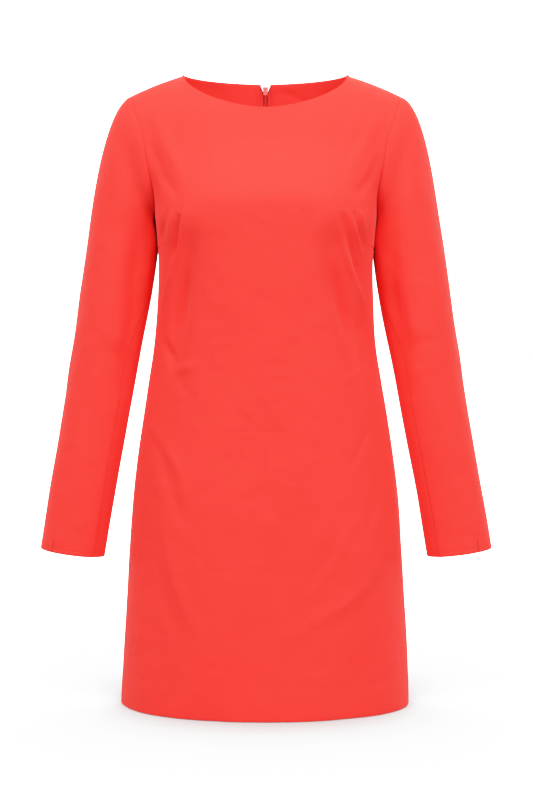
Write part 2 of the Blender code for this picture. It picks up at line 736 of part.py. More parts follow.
def main():
    """Build the dress."""
    for thing in list(bpy.data.objects):
        bpy.data.objects.remove(thing)
    front, front_normals, back, back_normals = torso_grids()
    build_front(front, front_normals, plain_material("front", CLOTH_COLOUR, CLOTH_ROUGHNESS))
    for name, side in (("back_left", 1), ("back_right", -1)):
        cloth = plain_material(name, CLOTH_COLOUR, CLOTH_ROUGHNESS)
        build_back(name, back, back_normals, side, cloth)
    rows = front.shape[0] - ARMHOLE_ROWS - 1
    armhole = np.concatenate([front[rows:, -1], back[rows:-1, -1][::-1]])
    armhole_normals = np.concatenate([front_normals[rows:, -1], back_normals[rows:-1, -1][::-1]])
    for name, side in (("sleeve_left", 1), ("sleeve_right", -1)):
        cloth = plain_material(name, CLOTH_COLOUR, CLOTH_ROUGHNESS)
        build_sleeve(name, side, armhole, armhole_normals, cloth)
    for name, side in (("zip_tape_left", 1), ("zip_tape_right", -1)):
        tape = plain_material(name, TAPE_COLOUR, CLOTH_ROUGHNESS)
        build_zip_tape(name, back, back_normals, side, tape)
    frame = zip_frame(back)
    build_slider(frame, plain_material("zip_slider", SLIDER_COLOUR, SLIDER_ROUGHNESS))
    build_pull(frame, plain_material("zip_pull", SLIDER_COLOUR, SLIDER_ROUGHNESS))


main()
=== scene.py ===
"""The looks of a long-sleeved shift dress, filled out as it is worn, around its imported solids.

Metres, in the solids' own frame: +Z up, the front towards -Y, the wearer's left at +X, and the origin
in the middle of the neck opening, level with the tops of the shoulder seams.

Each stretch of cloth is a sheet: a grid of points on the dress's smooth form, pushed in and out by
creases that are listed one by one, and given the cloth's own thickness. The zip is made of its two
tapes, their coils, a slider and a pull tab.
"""

import logging
import math
from dataclasses import dataclass, field, replace
from enum import Enum
from typing import Callable, NamedTuple, Sequence

import bmesh
import bpy
import numpy as np
from mathutils import Matrix, Vector


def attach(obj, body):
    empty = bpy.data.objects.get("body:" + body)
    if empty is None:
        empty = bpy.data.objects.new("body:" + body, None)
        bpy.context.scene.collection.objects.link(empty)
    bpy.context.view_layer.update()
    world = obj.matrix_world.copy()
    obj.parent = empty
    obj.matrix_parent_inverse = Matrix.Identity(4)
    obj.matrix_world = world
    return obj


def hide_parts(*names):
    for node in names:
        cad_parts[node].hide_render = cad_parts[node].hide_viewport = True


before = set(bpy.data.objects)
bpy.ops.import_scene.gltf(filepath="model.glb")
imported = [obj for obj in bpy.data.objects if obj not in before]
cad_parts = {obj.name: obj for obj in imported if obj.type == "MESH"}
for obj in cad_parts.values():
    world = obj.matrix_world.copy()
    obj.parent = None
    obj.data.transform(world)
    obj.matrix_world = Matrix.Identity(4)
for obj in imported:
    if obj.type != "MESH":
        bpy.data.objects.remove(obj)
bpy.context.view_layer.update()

Array = np.ndarray
Piece = bpy.types.Object
Material = bpy.types.Material
Socket = bpy.types.NodeSocket
Tree = bpy.types.NodeTree
Inputs = dict[str | int, object]
Triple = tuple[float, float, float]
Pairs = tuple[tuple[float, float], ...]

log = logging.getLogger("shift_dress")
MM = 0.001
DRESS_BODY = "dress"
PULL_BODY = "pull"


# ---- Shared sums ----


def natural_spline(places: Sequence[float], values: Sequence[float]) -> Callable:
    """Make a smooth curve through values at places.

    Args:
        places: where the values hold, running upwards.
        values: the values there.

    Returns:
        A function from a place, or an array of them, to the curve's value.
    """
    x = np.array(places, float)
    y = np.array(values, float)
    gap = np.diff(x)
    count = len(x)
    matrix = np.eye(count)
    right = np.zeros(count)
    for i in range(1, count - 1):
        matrix[i, i - 1 : i + 2] = gap[i - 1], 2 * (gap[i - 1] + gap[i]), gap[i]
        right[i] = 6 * ((y[i + 1] - y[i]) / gap[i] - (y[i] - y[i - 1]) / gap[i - 1])
    bend = np.linalg.solve(matrix, right)

    def value(at: Array) -> Array:
        """Read the curve at one place or many."""
        at = np.clip(np.asarray(at, float), x[0], x[-1])
        i = np.clip(np.searchsorted(x, at) - 1, 0, count - 2)
        low = (x[i + 1] - at) / gap[i]
        high = 1 - low
        curve = (low**3 - low) * bend[i] + (high**3 - high) * bend[i + 1]
        return low * y[i] + high * y[i + 1] + curve * gap[i] ** 2 / 6

    return value


def smooth_step(low: float, high: float, at: Array) -> Array:
    """Rise smoothly from 0 at low to 1 at high."""
    share = np.clip((at - low) / (high - low), 0, 1)
    return share * share * (3 - 2 * share)


def unit(vectors: Array) -> Array:
    """Scale each vector to length 1."""
    return vectors / np.maximum(np.linalg.norm(vectors, axis=-1, keepdims=True), 1e-12)


def grid_normals(points: Array) -> Array:
    """Give a grid's normals: columns run anticlockwise seen from above, rows run up."""
    return unit(np.cross(np.gradient(points, axis=1), np.gradient(points, axis=0)))


def mirrored(vectors: Array) -> Array:
    """Mirror points or normals to the wearer's other side."""
    return vectors * np.array((-1.0, 1.0, 1.0))


def along(points: Array, axis: int) -> Array:
    """Give each grid point's distance along the cloth from the grid's first row or column.

    Args:
        points: the grid.
        axis: 0 to measure up the rows, 1 across the columns.

    Returns:
        The distances, in metres.
    """
    steps = np.linalg.norm(np.diff(points, axis=axis), axis=-1)
    padding = [(0, 0), (0, 0)]
    padding[axis] = (1, 0)
    return np.cumsum(np.pad(steps, padding), axis=axis)


def run_lengths(line: Array) -> Array:
    """Give each point's distance along a line from the line's start."""
    return np.concatenate([[0], np.cumsum(np.linalg.norm(np.diff(line, axis=0), axis=1))])


def read_line(at: Array, places: Array, values: Array) -> Array:
    """Read points or directions between the places where they are known."""
    return np.stack([np.interp(at, places, values[:, k]) for k in range(3)], axis=-1)


def bell(off: Array, half_width: float) -> Array:
    """Give 1 where off is 0, falling smoothly to nearly 0 at twice the half-width."""
    return np.exp(-((off / half_width) ** 2))


# ---- Creases ----

CREASE_STEPS = 20
CREASE_UNEVENNESS = 0.18


@dataclass(frozen=True)
class Crease:
    """A soft ridge, or where its height is negative a trough, along a curved run over the cloth.

    Attributes:
        route: points that the run passes, each by a place across or round the cloth and a height.
        half_width: how far to each side it reaches, where it starts, in millimetres.
        height: how far it stands out of the cloth at its middle, in millimetres.
        lean: how much of a trough follows the ridge on its left, or on its right where negative.
        skew: how much steeper it is on its left, from -1 to 1, and gentler on its right.
        spread: how much wider it is where it ends, as a share of its half-width.
        sharpness: under 1 it is full to its ends, over 1 it fades early.
    """

    route: Pairs
    half_width: float
    height: float
    lean: float = 0.0
    skew: float = 0.0
    spread: float = 0.0
    sharpness: float = 0.6

    def push(self, knots: Array, across: Array, up: Array) -> Array:
        """Work out how far the crease pushes each point of a sheet.

        Args:
            knots: the route in metres, in the sheet's own two measures.
            across: each point's first measure.
            up: each point's second measure.

        Returns:
            The pushes, in metres.
        """
        places = run_lengths(knots)
        at = np.linspace(0, places[-1], CREASE_STEPS)
        line = np.stack([natural_spline(places, knots[:, k])(at) for k in (0, 1)], axis=-1)
        reach = 3.5 * self.half_width * MM * (1 + max(self.spread, 0)) * (1 + abs(self.skew))
        low, high = line.min(axis=0) - reach, line.max(axis=0) + reach
        near = (across > low[0]) & (across < high[0]) & (up > low[1]) & (up < high[1])
        here = np.stack([across[near], up[near]], axis=-1)
        best = np.full(len(here), np.inf)
        side = np.zeros(len(here))
        place = np.zeros(len(here))
        for k in range(len(line) - 1):
            run = line[k + 1] - line[k]
            off = here - line[k]
            share = np.clip(off @ run / (run @ run), 0, 1)
            away = off - share[:, None] * run
            distance = np.linalg.norm(away, axis=1)
            closer = distance < best
            best = np.where(closer, distance, best)
            turn = run[0] * off[:, 1] - run[1] * off[:, 0]
            side = np.where(closer, np.sign(turn), side)
            place = np.where(closer, (k + share) / (len(line) - 1), place)
        width = self.half_width * MM * (1 + self.spread * place) * (1 - self.skew * side)
        u = side * best / width
        swell = np.sin(math.pi * np.clip(place, 0.0, 1.0)) ** self.sharpness
        uneven = 1 + CREASE_UNEVENNESS * np.sin(9.0 * place + 40 * self.half_width)
        pushes = np.zeros(across.shape)
        pushes[near] = self.height * MM * swell * uneven * np.exp(-(u**2)) * (1 - self.lean * u)
        return pushes


def shoulder_ease(z: Array) -> Array:
    """Give how much of a seam's groove and its painted shade show: little at the shoulder, all of it from the
    mid armhole.
    """
    return 0.3 + 0.7 * smooth_step(-0.085, -0.165, z)


class Ripple(NamedTuple):
    """One wave of the cloth's slow unevenness: waves a metre across and up, its start and its height."""

    across: float
    up: float
    start: float
    height: float


RIPPLES = (
    Ripple(4.1, 1.7, 0.3, 0.00075),
    Ripple(-6.3, 2.9, 1.9, 0.00055),
    Ripple(8.7, 3.1, 4.0, 0.00040),
    Ripple(-11.9, 4.7, 2.6, 0.00028),
    Ripple(15.1, -7.3, 5.2, 0.00016),
    Ripple(23.0, 11.0, 0.9, 0.00009),
)


def ripple_push(across: Array, up: Array, phase: float) -> Array:
    """Give the slow unevenness of cloth that hangs by its own weight.

    Args:
        across: each point's distance across the cloth.
        up: each point's distance up the cloth.
        phase: a number of the sheet's own, so that no two sheets match.

    Returns:
        The pushes, in metres.
    """
    total = np.zeros(across.shape)
    for wave in RIPPLES:
        turn = 2 * math.pi * (wave.across * across + wave.up * up) + wave.start + phase
        total += wave.height * np.sin(turn)
    return total


# ---- Sheets of cloth ----


@dataclass(frozen=True)
class Sheet:
    """A stretch of cloth as a grid: columns anticlockwise seen from above, rows up its outer face.

    Attributes:
        surface: points of the face that shows.
        normals: the way that face looks.
        cloth: each point's place on the cloth, across and up, in metres.
        seam: how much painted shade the colour takes: 1 on a seam, falling to 0 a few millimetres away; it
            also marks cuff slits, bands beside the underarms and the zip tapes' edges.
        thickness: the cloth's thickness at each point.
    """

    surface: Array
    normals: Array
    cloth: Array
    seam: Array
    thickness: Array

    @property
    def parts(self) -> tuple[Array, ...]:
        """Give the sheet's grids in order."""
        return self.surface, self.normals, self.cloth, self.seam, self.thickness

    def picked(self, rows: slice = slice(None), columns: slice = slice(None)) -> "Sheet":
        """Give the part of the sheet that some rows or columns cover."""
        return Sheet(*[part[rows, columns] for part in self.parts])

    def turned_round(self) -> "Sheet":
        """Give the sheet with its columns in the other order."""
        return self.picked(columns=slice(None, None, -1))

    def reflected(self) -> "Sheet":
        """Give the sheet's mirror image, column by column, for the wearer's other side."""
        cloth = self.cloth * np.array((-1.0, 1.0))
        return replace(self, surface=mirrored(self.surface), normals=mirrored(self.normals), cloth=cloth)

    def mirror(self) -> "Sheet":
        """Give the sheet for the wearer's other side, facing outwards again."""
        return self.turned_round().reflected()

    def join(self, other: "Sheet") -> "Sheet":
        """Put another sheet's columns after this one's."""
        return Sheet(*[np.concatenate(pair, axis=1) for pair in zip(self.parts, other.parts)])

    def pushed(self, push: Array) -> "Sheet":
        """Move the sheet's face out by a distance for each point."""
        return replace(self, surface=self.surface + self.normals * push[..., None])

    def sunk(self, depth: float) -> "Sheet":
        """Give a copy that lies some way inside this sheet."""
        return replace(self, surface=self.surface - self.normals * depth)

    def edge_columns(self, reach: float) -> tuple[slice, slice]:
        """Find the columns within reach of the sheet's first edge, and those of its last.

        Args:
            reach: how wide each strip is.

        Returns:
            The two strips' columns.
        """
        across = along(self.surface, 1).mean(axis=0)
        first = slice(0, int(np.argmax(across > reach)) + 1)
        return first, slice(int(np.argmax(across > across[-1] - reach)) - 1, None)

    def flat_size(self) -> Triple:
        """Give the cut's greatest width, its greatest length and its area.

        Returns:
            The width, the length and the area, in metres.
        """
        width = float(along(self.surface, 1)[:, -1].max())
        length = float(along(self.surface, 0)[-1].max())
        a = self.surface[1:, 1:] - self.surface[:-1, :-1]
        b = self.surface[:-1, 1:] - self.surface[1:, :-1]
        area = float(np.linalg.norm(np.cross(a, b), axis=-1).sum() / 2)
        return width, length, min(area, width * length)


class Slit(NamedTuple):
    """A cut up from a sheet's lower edge: its column, its length and half its gap at the edge."""

    column: int
    length: float
    half_gap: float


CLOTH_EDGE_ROUNDING = 0.22 * MM
FOLD_RADIUS = 0.45 * MM
FOLD_STEPS = (0.75, 0.5, 0.25)


def middle_grid(sheet: Sheet, turn_up: float) -> tuple[Array, ...]:
    """Lay out a sheet's middle surface, with its lower edge turned up on the inside.

    Args:
        sheet: the cloth, whose first row is the lower edge.
        turn_up: how far the turned cloth reaches up, or 0 for none.

    Returns:
        The middle points, their normals, the cloth places, the shares of painted seam shade and the half
        thickness.
    """
    half = sheet.thickness / 2
    middle = sheet.surface - sheet.normals * half[..., None]
    grids = [middle, sheet.normals, sheet.cloth, sheet.seam, half]
    if turn_up <= 0:
        return tuple(grids)
    height = along(sheet.surface, 0).mean(axis=1)
    inside = [int(np.argmin(np.abs(height - at))) for at in np.arange(turn_up, 0.5 * MM, -3 * MM)]
    inside = list(dict.fromkeys(inside + [0]))
    angle = math.pi * np.array(FOLD_STEPS)[:, None, None]
    facing = sheet.normals[0] * np.cos(angle) + unit(middle[0] - middle[1]) * np.sin(angle)
    fold = middle[0] - FOLD_RADIUS * sheet.normals[0] + FOLD_RADIUS * facing
    laid = middle[inside] - 2 * FOLD_RADIUS * sheet.normals[inside]
    turned = sheet.cloth[inside].copy()
    turned[..., 1] = 2 * sheet.cloth[0, :, 1] - turned[..., 1] - math.pi * FOLD_RADIUS
    steps = len(FOLD_STEPS)
    fold_cloth = np.repeat(sheet.cloth[:1], steps, axis=0)
    fold_cloth[..., 1] -= FOLD_RADIUS * math.pi * np.array(FOLD_STEPS)[:, None]
    return (
        np.concatenate([laid, fold, middle]),
        np.concatenate([-sheet.normals[inside], facing, sheet.normals]),
        np.concatenate([turned, fold_cloth, sheet.cloth]),
        np.concatenate([sheet.seam[inside], np.repeat(sheet.seam[:1], steps, axis=0), sheet.seam]),
        np.concatenate([half[inside], np.repeat(half[:1], steps, axis=0), half]),
    )


def rim_of(quads: Array, count: int) -> Array:
    """Find the directed edges that only one quad uses.

    Args:
        quads: the faces' corners.
        count: how many points there are.

    Returns:
        Each edge's start and end.
    """
    starts = quads.ravel()
    ends = np.roll(quads, -1, axis=1).ravel()
    forward = starts.astype(np.int64) * count + ends
    backward = ends.astype(np.int64) * count + starts
    alone = ~np.isin(forward, backward)
    return np.stack([starts[alone], ends[alone]], axis=-1)


def sheet_object(name: str, sheet: Sheet, turn_up: float = 0.0, slit: Slit | None = None) -> Piece:
    """Make a closed mesh of a sheet of cloth.

    Args:
        name: the piece's name.
        sheet: the cloth.
        turn_up: how far its lower edge is turned up inside.
        slit: a cut in the lower edge, if it has one.

    Returns:
        The new piece, with a UV map in metres along the cloth and an attribute, seam, of painted shade along
        its seams.
    """
    middle, normals, cloth, seam, half = middle_grid(sheet, turn_up)
    rows, columns = middle.shape[:2]
    corner = np.arange(rows * columns).reshape(rows, columns)
    right_of = corner.copy()
    middle, normals = middle.reshape(-1, 3).copy(), normals.reshape(-1, 3)
    cloth, seam, half = cloth.reshape(-1, 2), seam.reshape(-1), half.reshape(-1)
    if slit:
        edge = rows - sheet.surface.shape[0]
        height = along(middle.reshape(rows, columns, 3), 0)
        height = np.abs(height - height[edge])
        cut = [j for j in range(rows) if height[j, slit.column] < slit.length]
        split = corner[cut, slit.column]
        right_of[cut, slit.column] = len(middle) + np.arange(len(cut))
        beside = middle[corner[cut, slit.column + 1]] - middle[corner[cut, slit.column - 1]]
        share = np.clip(1 - height[cut, slit.column] / slit.length, 0, 1) ** 0.7
        opened = unit(beside) * (slit.half_gap * share)[:, None]
        middle = np.vstack([middle, middle[split] + opened])
        middle[split] -= opened
        normals, cloth = np.vstack([normals, normals[split]]), np.vstack([cloth, cloth[split]])
        # The slit's new points take full painted shade.
        seam, half = np.append(seam, np.ones(len(cut))), np.append(half, half[split])
    quads = np.stack(
        [right_of[:-1, :-1], corner[:-1, 1:], corner[1:, 1:], right_of[1:, :-1]], axis=-1
    ).reshape(-1, 4)
    count = len(middle)
    rim = rim_of(quads, count)
    walls = np.stack([rim[:, 1], rim[:, 0], rim[:, 0] + count, rim[:, 1] + count], axis=-1)
    faces = np.vstack([quads, quads[:, ::-1] + count, walls])
    step = normals * half[:, None]
    piece = meshed(name, np.vstack([middle + step, middle - step]), faces.tolist())
    mesh = piece.data
    layer = mesh.uv_layers.new(name="cloth")
    corners = np.empty(len(mesh.loops), np.int32)
    mesh.loops.foreach_get("vertex_index", corners)
    layer.data.foreach_set("uv", np.vstack([cloth, cloth])[corners].ravel())
    # The seam attribute is the painted shade mask that the material darkens by.
    attribute = mesh.attributes.new("seam", "FLOAT", "POINT")
    attribute.data.foreach_set("value", np.concatenate([seam, seam]))
    mesh.validate()
    soften_edges(piece, CLOTH_EDGE_ROUNDING)
    return piece


def placed(name: str, data: bpy.types.ID) -> Piece:
    """Put a mesh, a light or a camera in the scene, as a new object at the origin."""
    holder = bpy.data.objects.new(name, data)
    bpy.context.scene.collection.objects.link(holder)
    return holder


def meshed(name: str, points: Array, faces: list[list[int]]) -> Piece:
    """Make a smooth-shaded piece of points and faces.

    Args:
        name: the piece's name.
        points: its points.
        faces: each face's corners.

    Returns:
        The new piece.
    """
    mesh = bpy.data.meshes.new(name)
    mesh.from_pydata(points.reshape(-1, 3).tolist(), [], faces)
    mesh.shade_smooth()
    return placed(name, mesh)


def select_only(piece: Piece) -> None:
    """Leave one piece selected and active."""
    bpy.ops.object.select_all(action="DESELECT")
    piece.select_set(True)
    bpy.context.view_layer.objects.active = piece


def soften_edges(piece: Piece, width: float, segments: int = 2, angle: float = 50) -> None:
    """Round a piece's hard edges with a bevel that is applied.

    Args:
        piece: the piece.
        width: how far the rounding reaches from the edge.
        segments: its number of steps.
        angle: the least turn between faces, in degrees, that counts as a hard edge.
    """
    select_only(piece)
    bevel = piece.modifiers.new("rounded edges", "BEVEL")
    bevel.width = width
    bevel.segments = segments
    bevel.limit_method = "ANGLE"
    bevel.angle_limit = math.radians(angle)
    bevel.use_clamp_overlap = True
    bpy.ops.object.modifier_apply(modifier=bevel.name)
    bpy.ops.object.shade_smooth_by_angle(angle=math.radians(40))


# ---- The form of the dress ----


class Face(Enum):
    """The two faces of the body of the dress, each with the way it looks along Y."""

    FRONT = -1
    BACK = 1


class Side(Enum):
    """The wearer's two sides, each with the way it lies along X."""

    LEFT = 1
    RIGHT = -1

    @property
    def word(self) -> str:
        """Give the side's name as pieces and nodes spell it."""
        return self.name.lower()


class Girth(NamedTuple):
    """Half of the body's width at a height."""

    height: float
    half_width: float


class Profile(NamedTuple):
    """The body's depth before and behind the shoulder line, at a drop below the shoulder's crest."""

    drop: float
    front: float
    back: float


@dataclass(frozen=True)
class TorsoForm:
    """The smooth surface that the front and the back of the dress follow.

    At each height it is a superellipse quarter for the front and one for the back. Their ends are cut
    off at the armhole.
    """

    hem_height: float
    neck_half_width: float = 0.113
    front_neck_drop: float = 0.0475
    back_neck_drop: float = 0.0082
    front_neck_roundness: float = 1.7
    back_neck_roundness: float = 1.6
    shoulder_half_width: float = 0.188
    shoulder_height: float = -0.029
    shoulder_bow: float = 0.002
    underarm_height: float = -0.195
    hip_height: float = -0.500
    crest_fade: tuple[float, float] = (-0.22, -0.06)
    armhole_front: float = 0.055
    armhole_back: float = 0.052
    armhole_fullness: float = 0.12
    neck_columns: int = 44
    shoulder_columns: int = 20
    armhole_rows: int = 60
    side_girths: tuple[Girth, ...] = (
        Girth(-0.879, 0.2034), Girth(-0.792, 0.1993), Girth(-0.706, 0.1948),
        Girth(-0.620, 0.1891), Girth(-0.556, 0.1831), Girth(-0.493, 0.1743),
        Girth(-0.429, 0.1630), Girth(-0.366, 0.1536), Girth(-0.303, 0.1496),
        Girth(-0.262, 0.1487), Girth(-0.240, 0.1495), Girth(-0.216, 0.1514),
        Girth(-0.195, 0.1534),
    )
    armhole_girths: tuple[Girth, ...] = (
        Girth(-0.195, 0.1534), Girth(-0.172, 0.1525), Girth(-0.141, 0.1573),
        Girth(-0.118, 0.1624), Girth(-0.084, 0.1680), Girth(-0.063, 0.1753),
        Girth(-0.029, 0.1880),
    )
    roundnesses: Pairs = (
        (-0.879, 2.14), (-0.700, 2.20), (-0.500, 2.18), (-0.360, 2.30), (-0.270, 2.55),
        (-0.190, 2.92), (-0.120, 2.88), (-0.050, 2.42), (0.002, 2.30),
    )
    profiles: tuple[Profile, ...] = (
        Profile(0.000, 0.000, 0.000), Profile(0.010, 0.027, 0.037),
        Profile(0.030, 0.046, 0.056), Profile(0.066, 0.067, 0.073),
        Profile(0.100, 0.0795, 0.084), Profile(0.125, 0.0901, 0.090),
        Profile(0.150, 0.1041, 0.095), Profile(0.175, 0.1180, 0.099),
        Profile(0.192, 0.1249, 0.1013), Profile(0.210, 0.1263, 0.1025),
        Profile(0.260, 0.1247, 0.1035), Profile(0.300, 0.1232, 0.1015),
        Profile(0.350, 0.1205, 0.098), Profile(0.420, 0.119, 0.099),
        Profile(0.500, 0.119, 0.106), Profile(0.580, 0.121, 0.114),
        Profile(0.680, 0.123, 0.119), Profile(0.780, 0.124, 0.121),
        Profile(0.901, 0.125, 0.122),
    )

    def half_width(self, z: Array) -> Array:
        """Give half of the body's width at each height."""
        tables = (self.armhole_girths, self.side_girths)
        upper, lower = (natural_spline(*zip(*table))(z) for table in tables)
        return np.where(np.asarray(z) > self.underarm_height, upper, lower)

    @property
    def shoulder_slope(self) -> float:
        """Give how far the shoulder seam falls for each metre outwards."""
        return -self.shoulder_height / (self.shoulder_half_width - self.neck_half_width)

    @property
    def crest_rise(self) -> float:
        """Give how far the body's crest would rise over the neck's middle."""
        return self.shoulder_slope * self.neck_half_width / 2

    def crest_height(self, x: Array) -> Array:
        """Give the height of the shoulder's crest at each place across.

        Args:
            x: places across.

        Returns:
            The heights.
        """
        off = np.abs(x)
        width = self.shoulder_half_width - self.neck_half_width
        share = np.clip((off - self.neck_half_width) / width, 0, 1)
        bow = self.shoulder_bow * 4 * share * (1 - share)
        straight = -self.shoulder_slope * (off - self.neck_half_width) + bow
        rounded = self.crest_rise * (1 - (off / self.neck_half_width) ** 2)
        return np.where(off > self.neck_half_width, straight, rounded)

    def centre_depth(self, face: Face, x: Array, z: Array) -> Array:
        """Give the body's depth at its centre line, as it is at each point's drop below the crest.

        Args:
            face: the front or the back.
            x: places across.
            z: heights.

        Returns:
            The depths.
        """
        near = smooth_step(*self.crest_fade, z)
        drop = self.crest_height(x) * near + self.crest_rise * (1 - near) - z
        depths = [p.front if face is Face.FRONT else p.back for p in self.profiles]
        curve = natural_spline([math.sqrt(p.drop) for p in self.profiles], depths)
        return curve(np.sqrt(np.maximum(drop, 0)))

    def armhole_depth(self, face: Face, z: Array) -> Array:
        """Give how far the armhole seam lies before or behind the shoulder line at each height.

        Args:
            face: the front or the back.
            z: heights.

        Returns:
            The depths.
        """
        height = self.shoulder_height - self.underarm_height
        cosine = np.clip(1 - 2 * (z - self.underarm_height) / height, -1, 1)
        reach = self.armhole_front if face is Face.FRONT else self.armhole_back
        return reach * np.sqrt(1 - cosine**2) * (1 + self.armhole_fullness * cosine)

    def roundness(self, z: Array) -> Array:
        """Give the section's exponent at each height: boxier at the chest, an ellipse at the hem."""
        return natural_spline(*zip(*self.roundnesses))(z)

    def section_reach(self, face: Face, z: Array) -> Array:
        """Give half of the whole section's width, whose end the armhole cuts off.

        Args:
            face: the front or the back.
            z: heights.

        Returns:
            The half-widths.
        """
        inner = np.minimum(z, self.shoulder_height - 0.5 * MM)
        edge = self.half_width(inner)
        armhole = self.armhole_depth(face, inner) / self.centre_depth(face, edge, inner)
        share = np.where(inner > self.underarm_height, armhole, 0)
        power = self.roundness(inner)
        return edge / (1 - share**power) ** (1 / power) + np.maximum(z - inner, 0)

    def point(self, face: Face, across: Array, z: Array) -> Array:
        """Give points of the surface.

        Args:
            face: the front or the back.
            across: shares of the way from the centre line to the panel's edge.
            z: heights.

        Returns:
            The points, for the wearer's left side.
        """
        across = np.asarray(across, float)
        z = np.asarray(z, float)
        whole = self.section_reach(face, z)
        power = self.roundness(z)
        edge_angle = np.arccos(np.clip(self.half_width(z) / whole, 0, 1) ** (power / 2))
        angle = math.pi / 2 - across * (math.pi / 2 - edge_angle)
        x = whole * np.clip(np.cos(angle), 0, 1) ** (2 / power)
        depth = self.centre_depth(face, x, z) * np.clip(np.sin(angle), 0, 1) ** (2 / power)
        return np.stack([x, face.value * depth, z + 0 * x], axis=-1)

    def neck_height(self, face: Face, x: Array) -> Array:
        """Give the height of the neck edge, and beyond the neck points that of the shoulder seam.

        Args:
            face: the front or the back.
            x: places across.

        Returns:
            The heights.
        """
        front = face is Face.FRONT
        drop = self.front_neck_drop if front else self.back_neck_drop
        power = self.front_neck_roundness if front else self.back_neck_roundness
        share = np.clip(np.abs(x) / self.neck_half_width, 0, 1)
        neck = -drop * (1 - share**power) ** (1 / power)
        return np.where(np.abs(x) < self.neck_half_width, neck, self.crest_height(x))

    def column_tops(self, face: Face, across: Array) -> Array:
        """Find the height at which each column meets the neck edge or the shoulder seam.

        Args:
            face: the front or the back.
            across: the columns' shares.

        Returns:
            The heights.
        """
        low = np.full(across.shape, self.shoulder_height - self.front_neck_drop)
        high = np.full(across.shape, self.shoulder_bow)
        for _ in range(50):
            middle = (low + high) / 2
            below = middle < self.neck_height(face, self.point(face, across, middle)[..., 0])
            low = np.where(below, middle, low)
            high = np.where(below, high, middle)
        low[-1] = self.shoulder_height
        return low

    def columns(self, face: Face) -> Array:
        """Give the columns' shares across a half panel, close together where the cloth turns.

        Args:
            face: the front or the back.

        Returns:
            The shares, from 0 at the centre line to 1 at the side.
        """
        low, high = 0.2, 1.0
        for _ in range(50):
            middle = (low + high) / 2
            inside = self.point(face, middle, 0.0)[0] < self.neck_half_width
            low, high = (middle, high) if inside else (low, middle)
        even = np.linspace(0, 1, self.neck_columns + 1)
        neck = high * (0.45 * even + 0.55 * np.sin(math.pi / 2 * even))
        centre = high * np.array((0.0, 0.004, 0.009, 0.016))
        shoulder = np.linspace(high, 0.984, self.shoulder_columns + 1)[1:]
        return np.concatenate([centre, neck[1:], shoulder, (0.990, 0.9955, 1.0)])

    def arc_at(self, face: Face, x: float, z: float) -> float:
        """Give the distance along the cloth from the centre line to a place across, at a height."""
        row = self.point(face, np.linspace(0, 1, 160), np.full(160, z))
        return math.copysign(float(np.interp(abs(x), row[:, 0], run_lengths(row))), x)


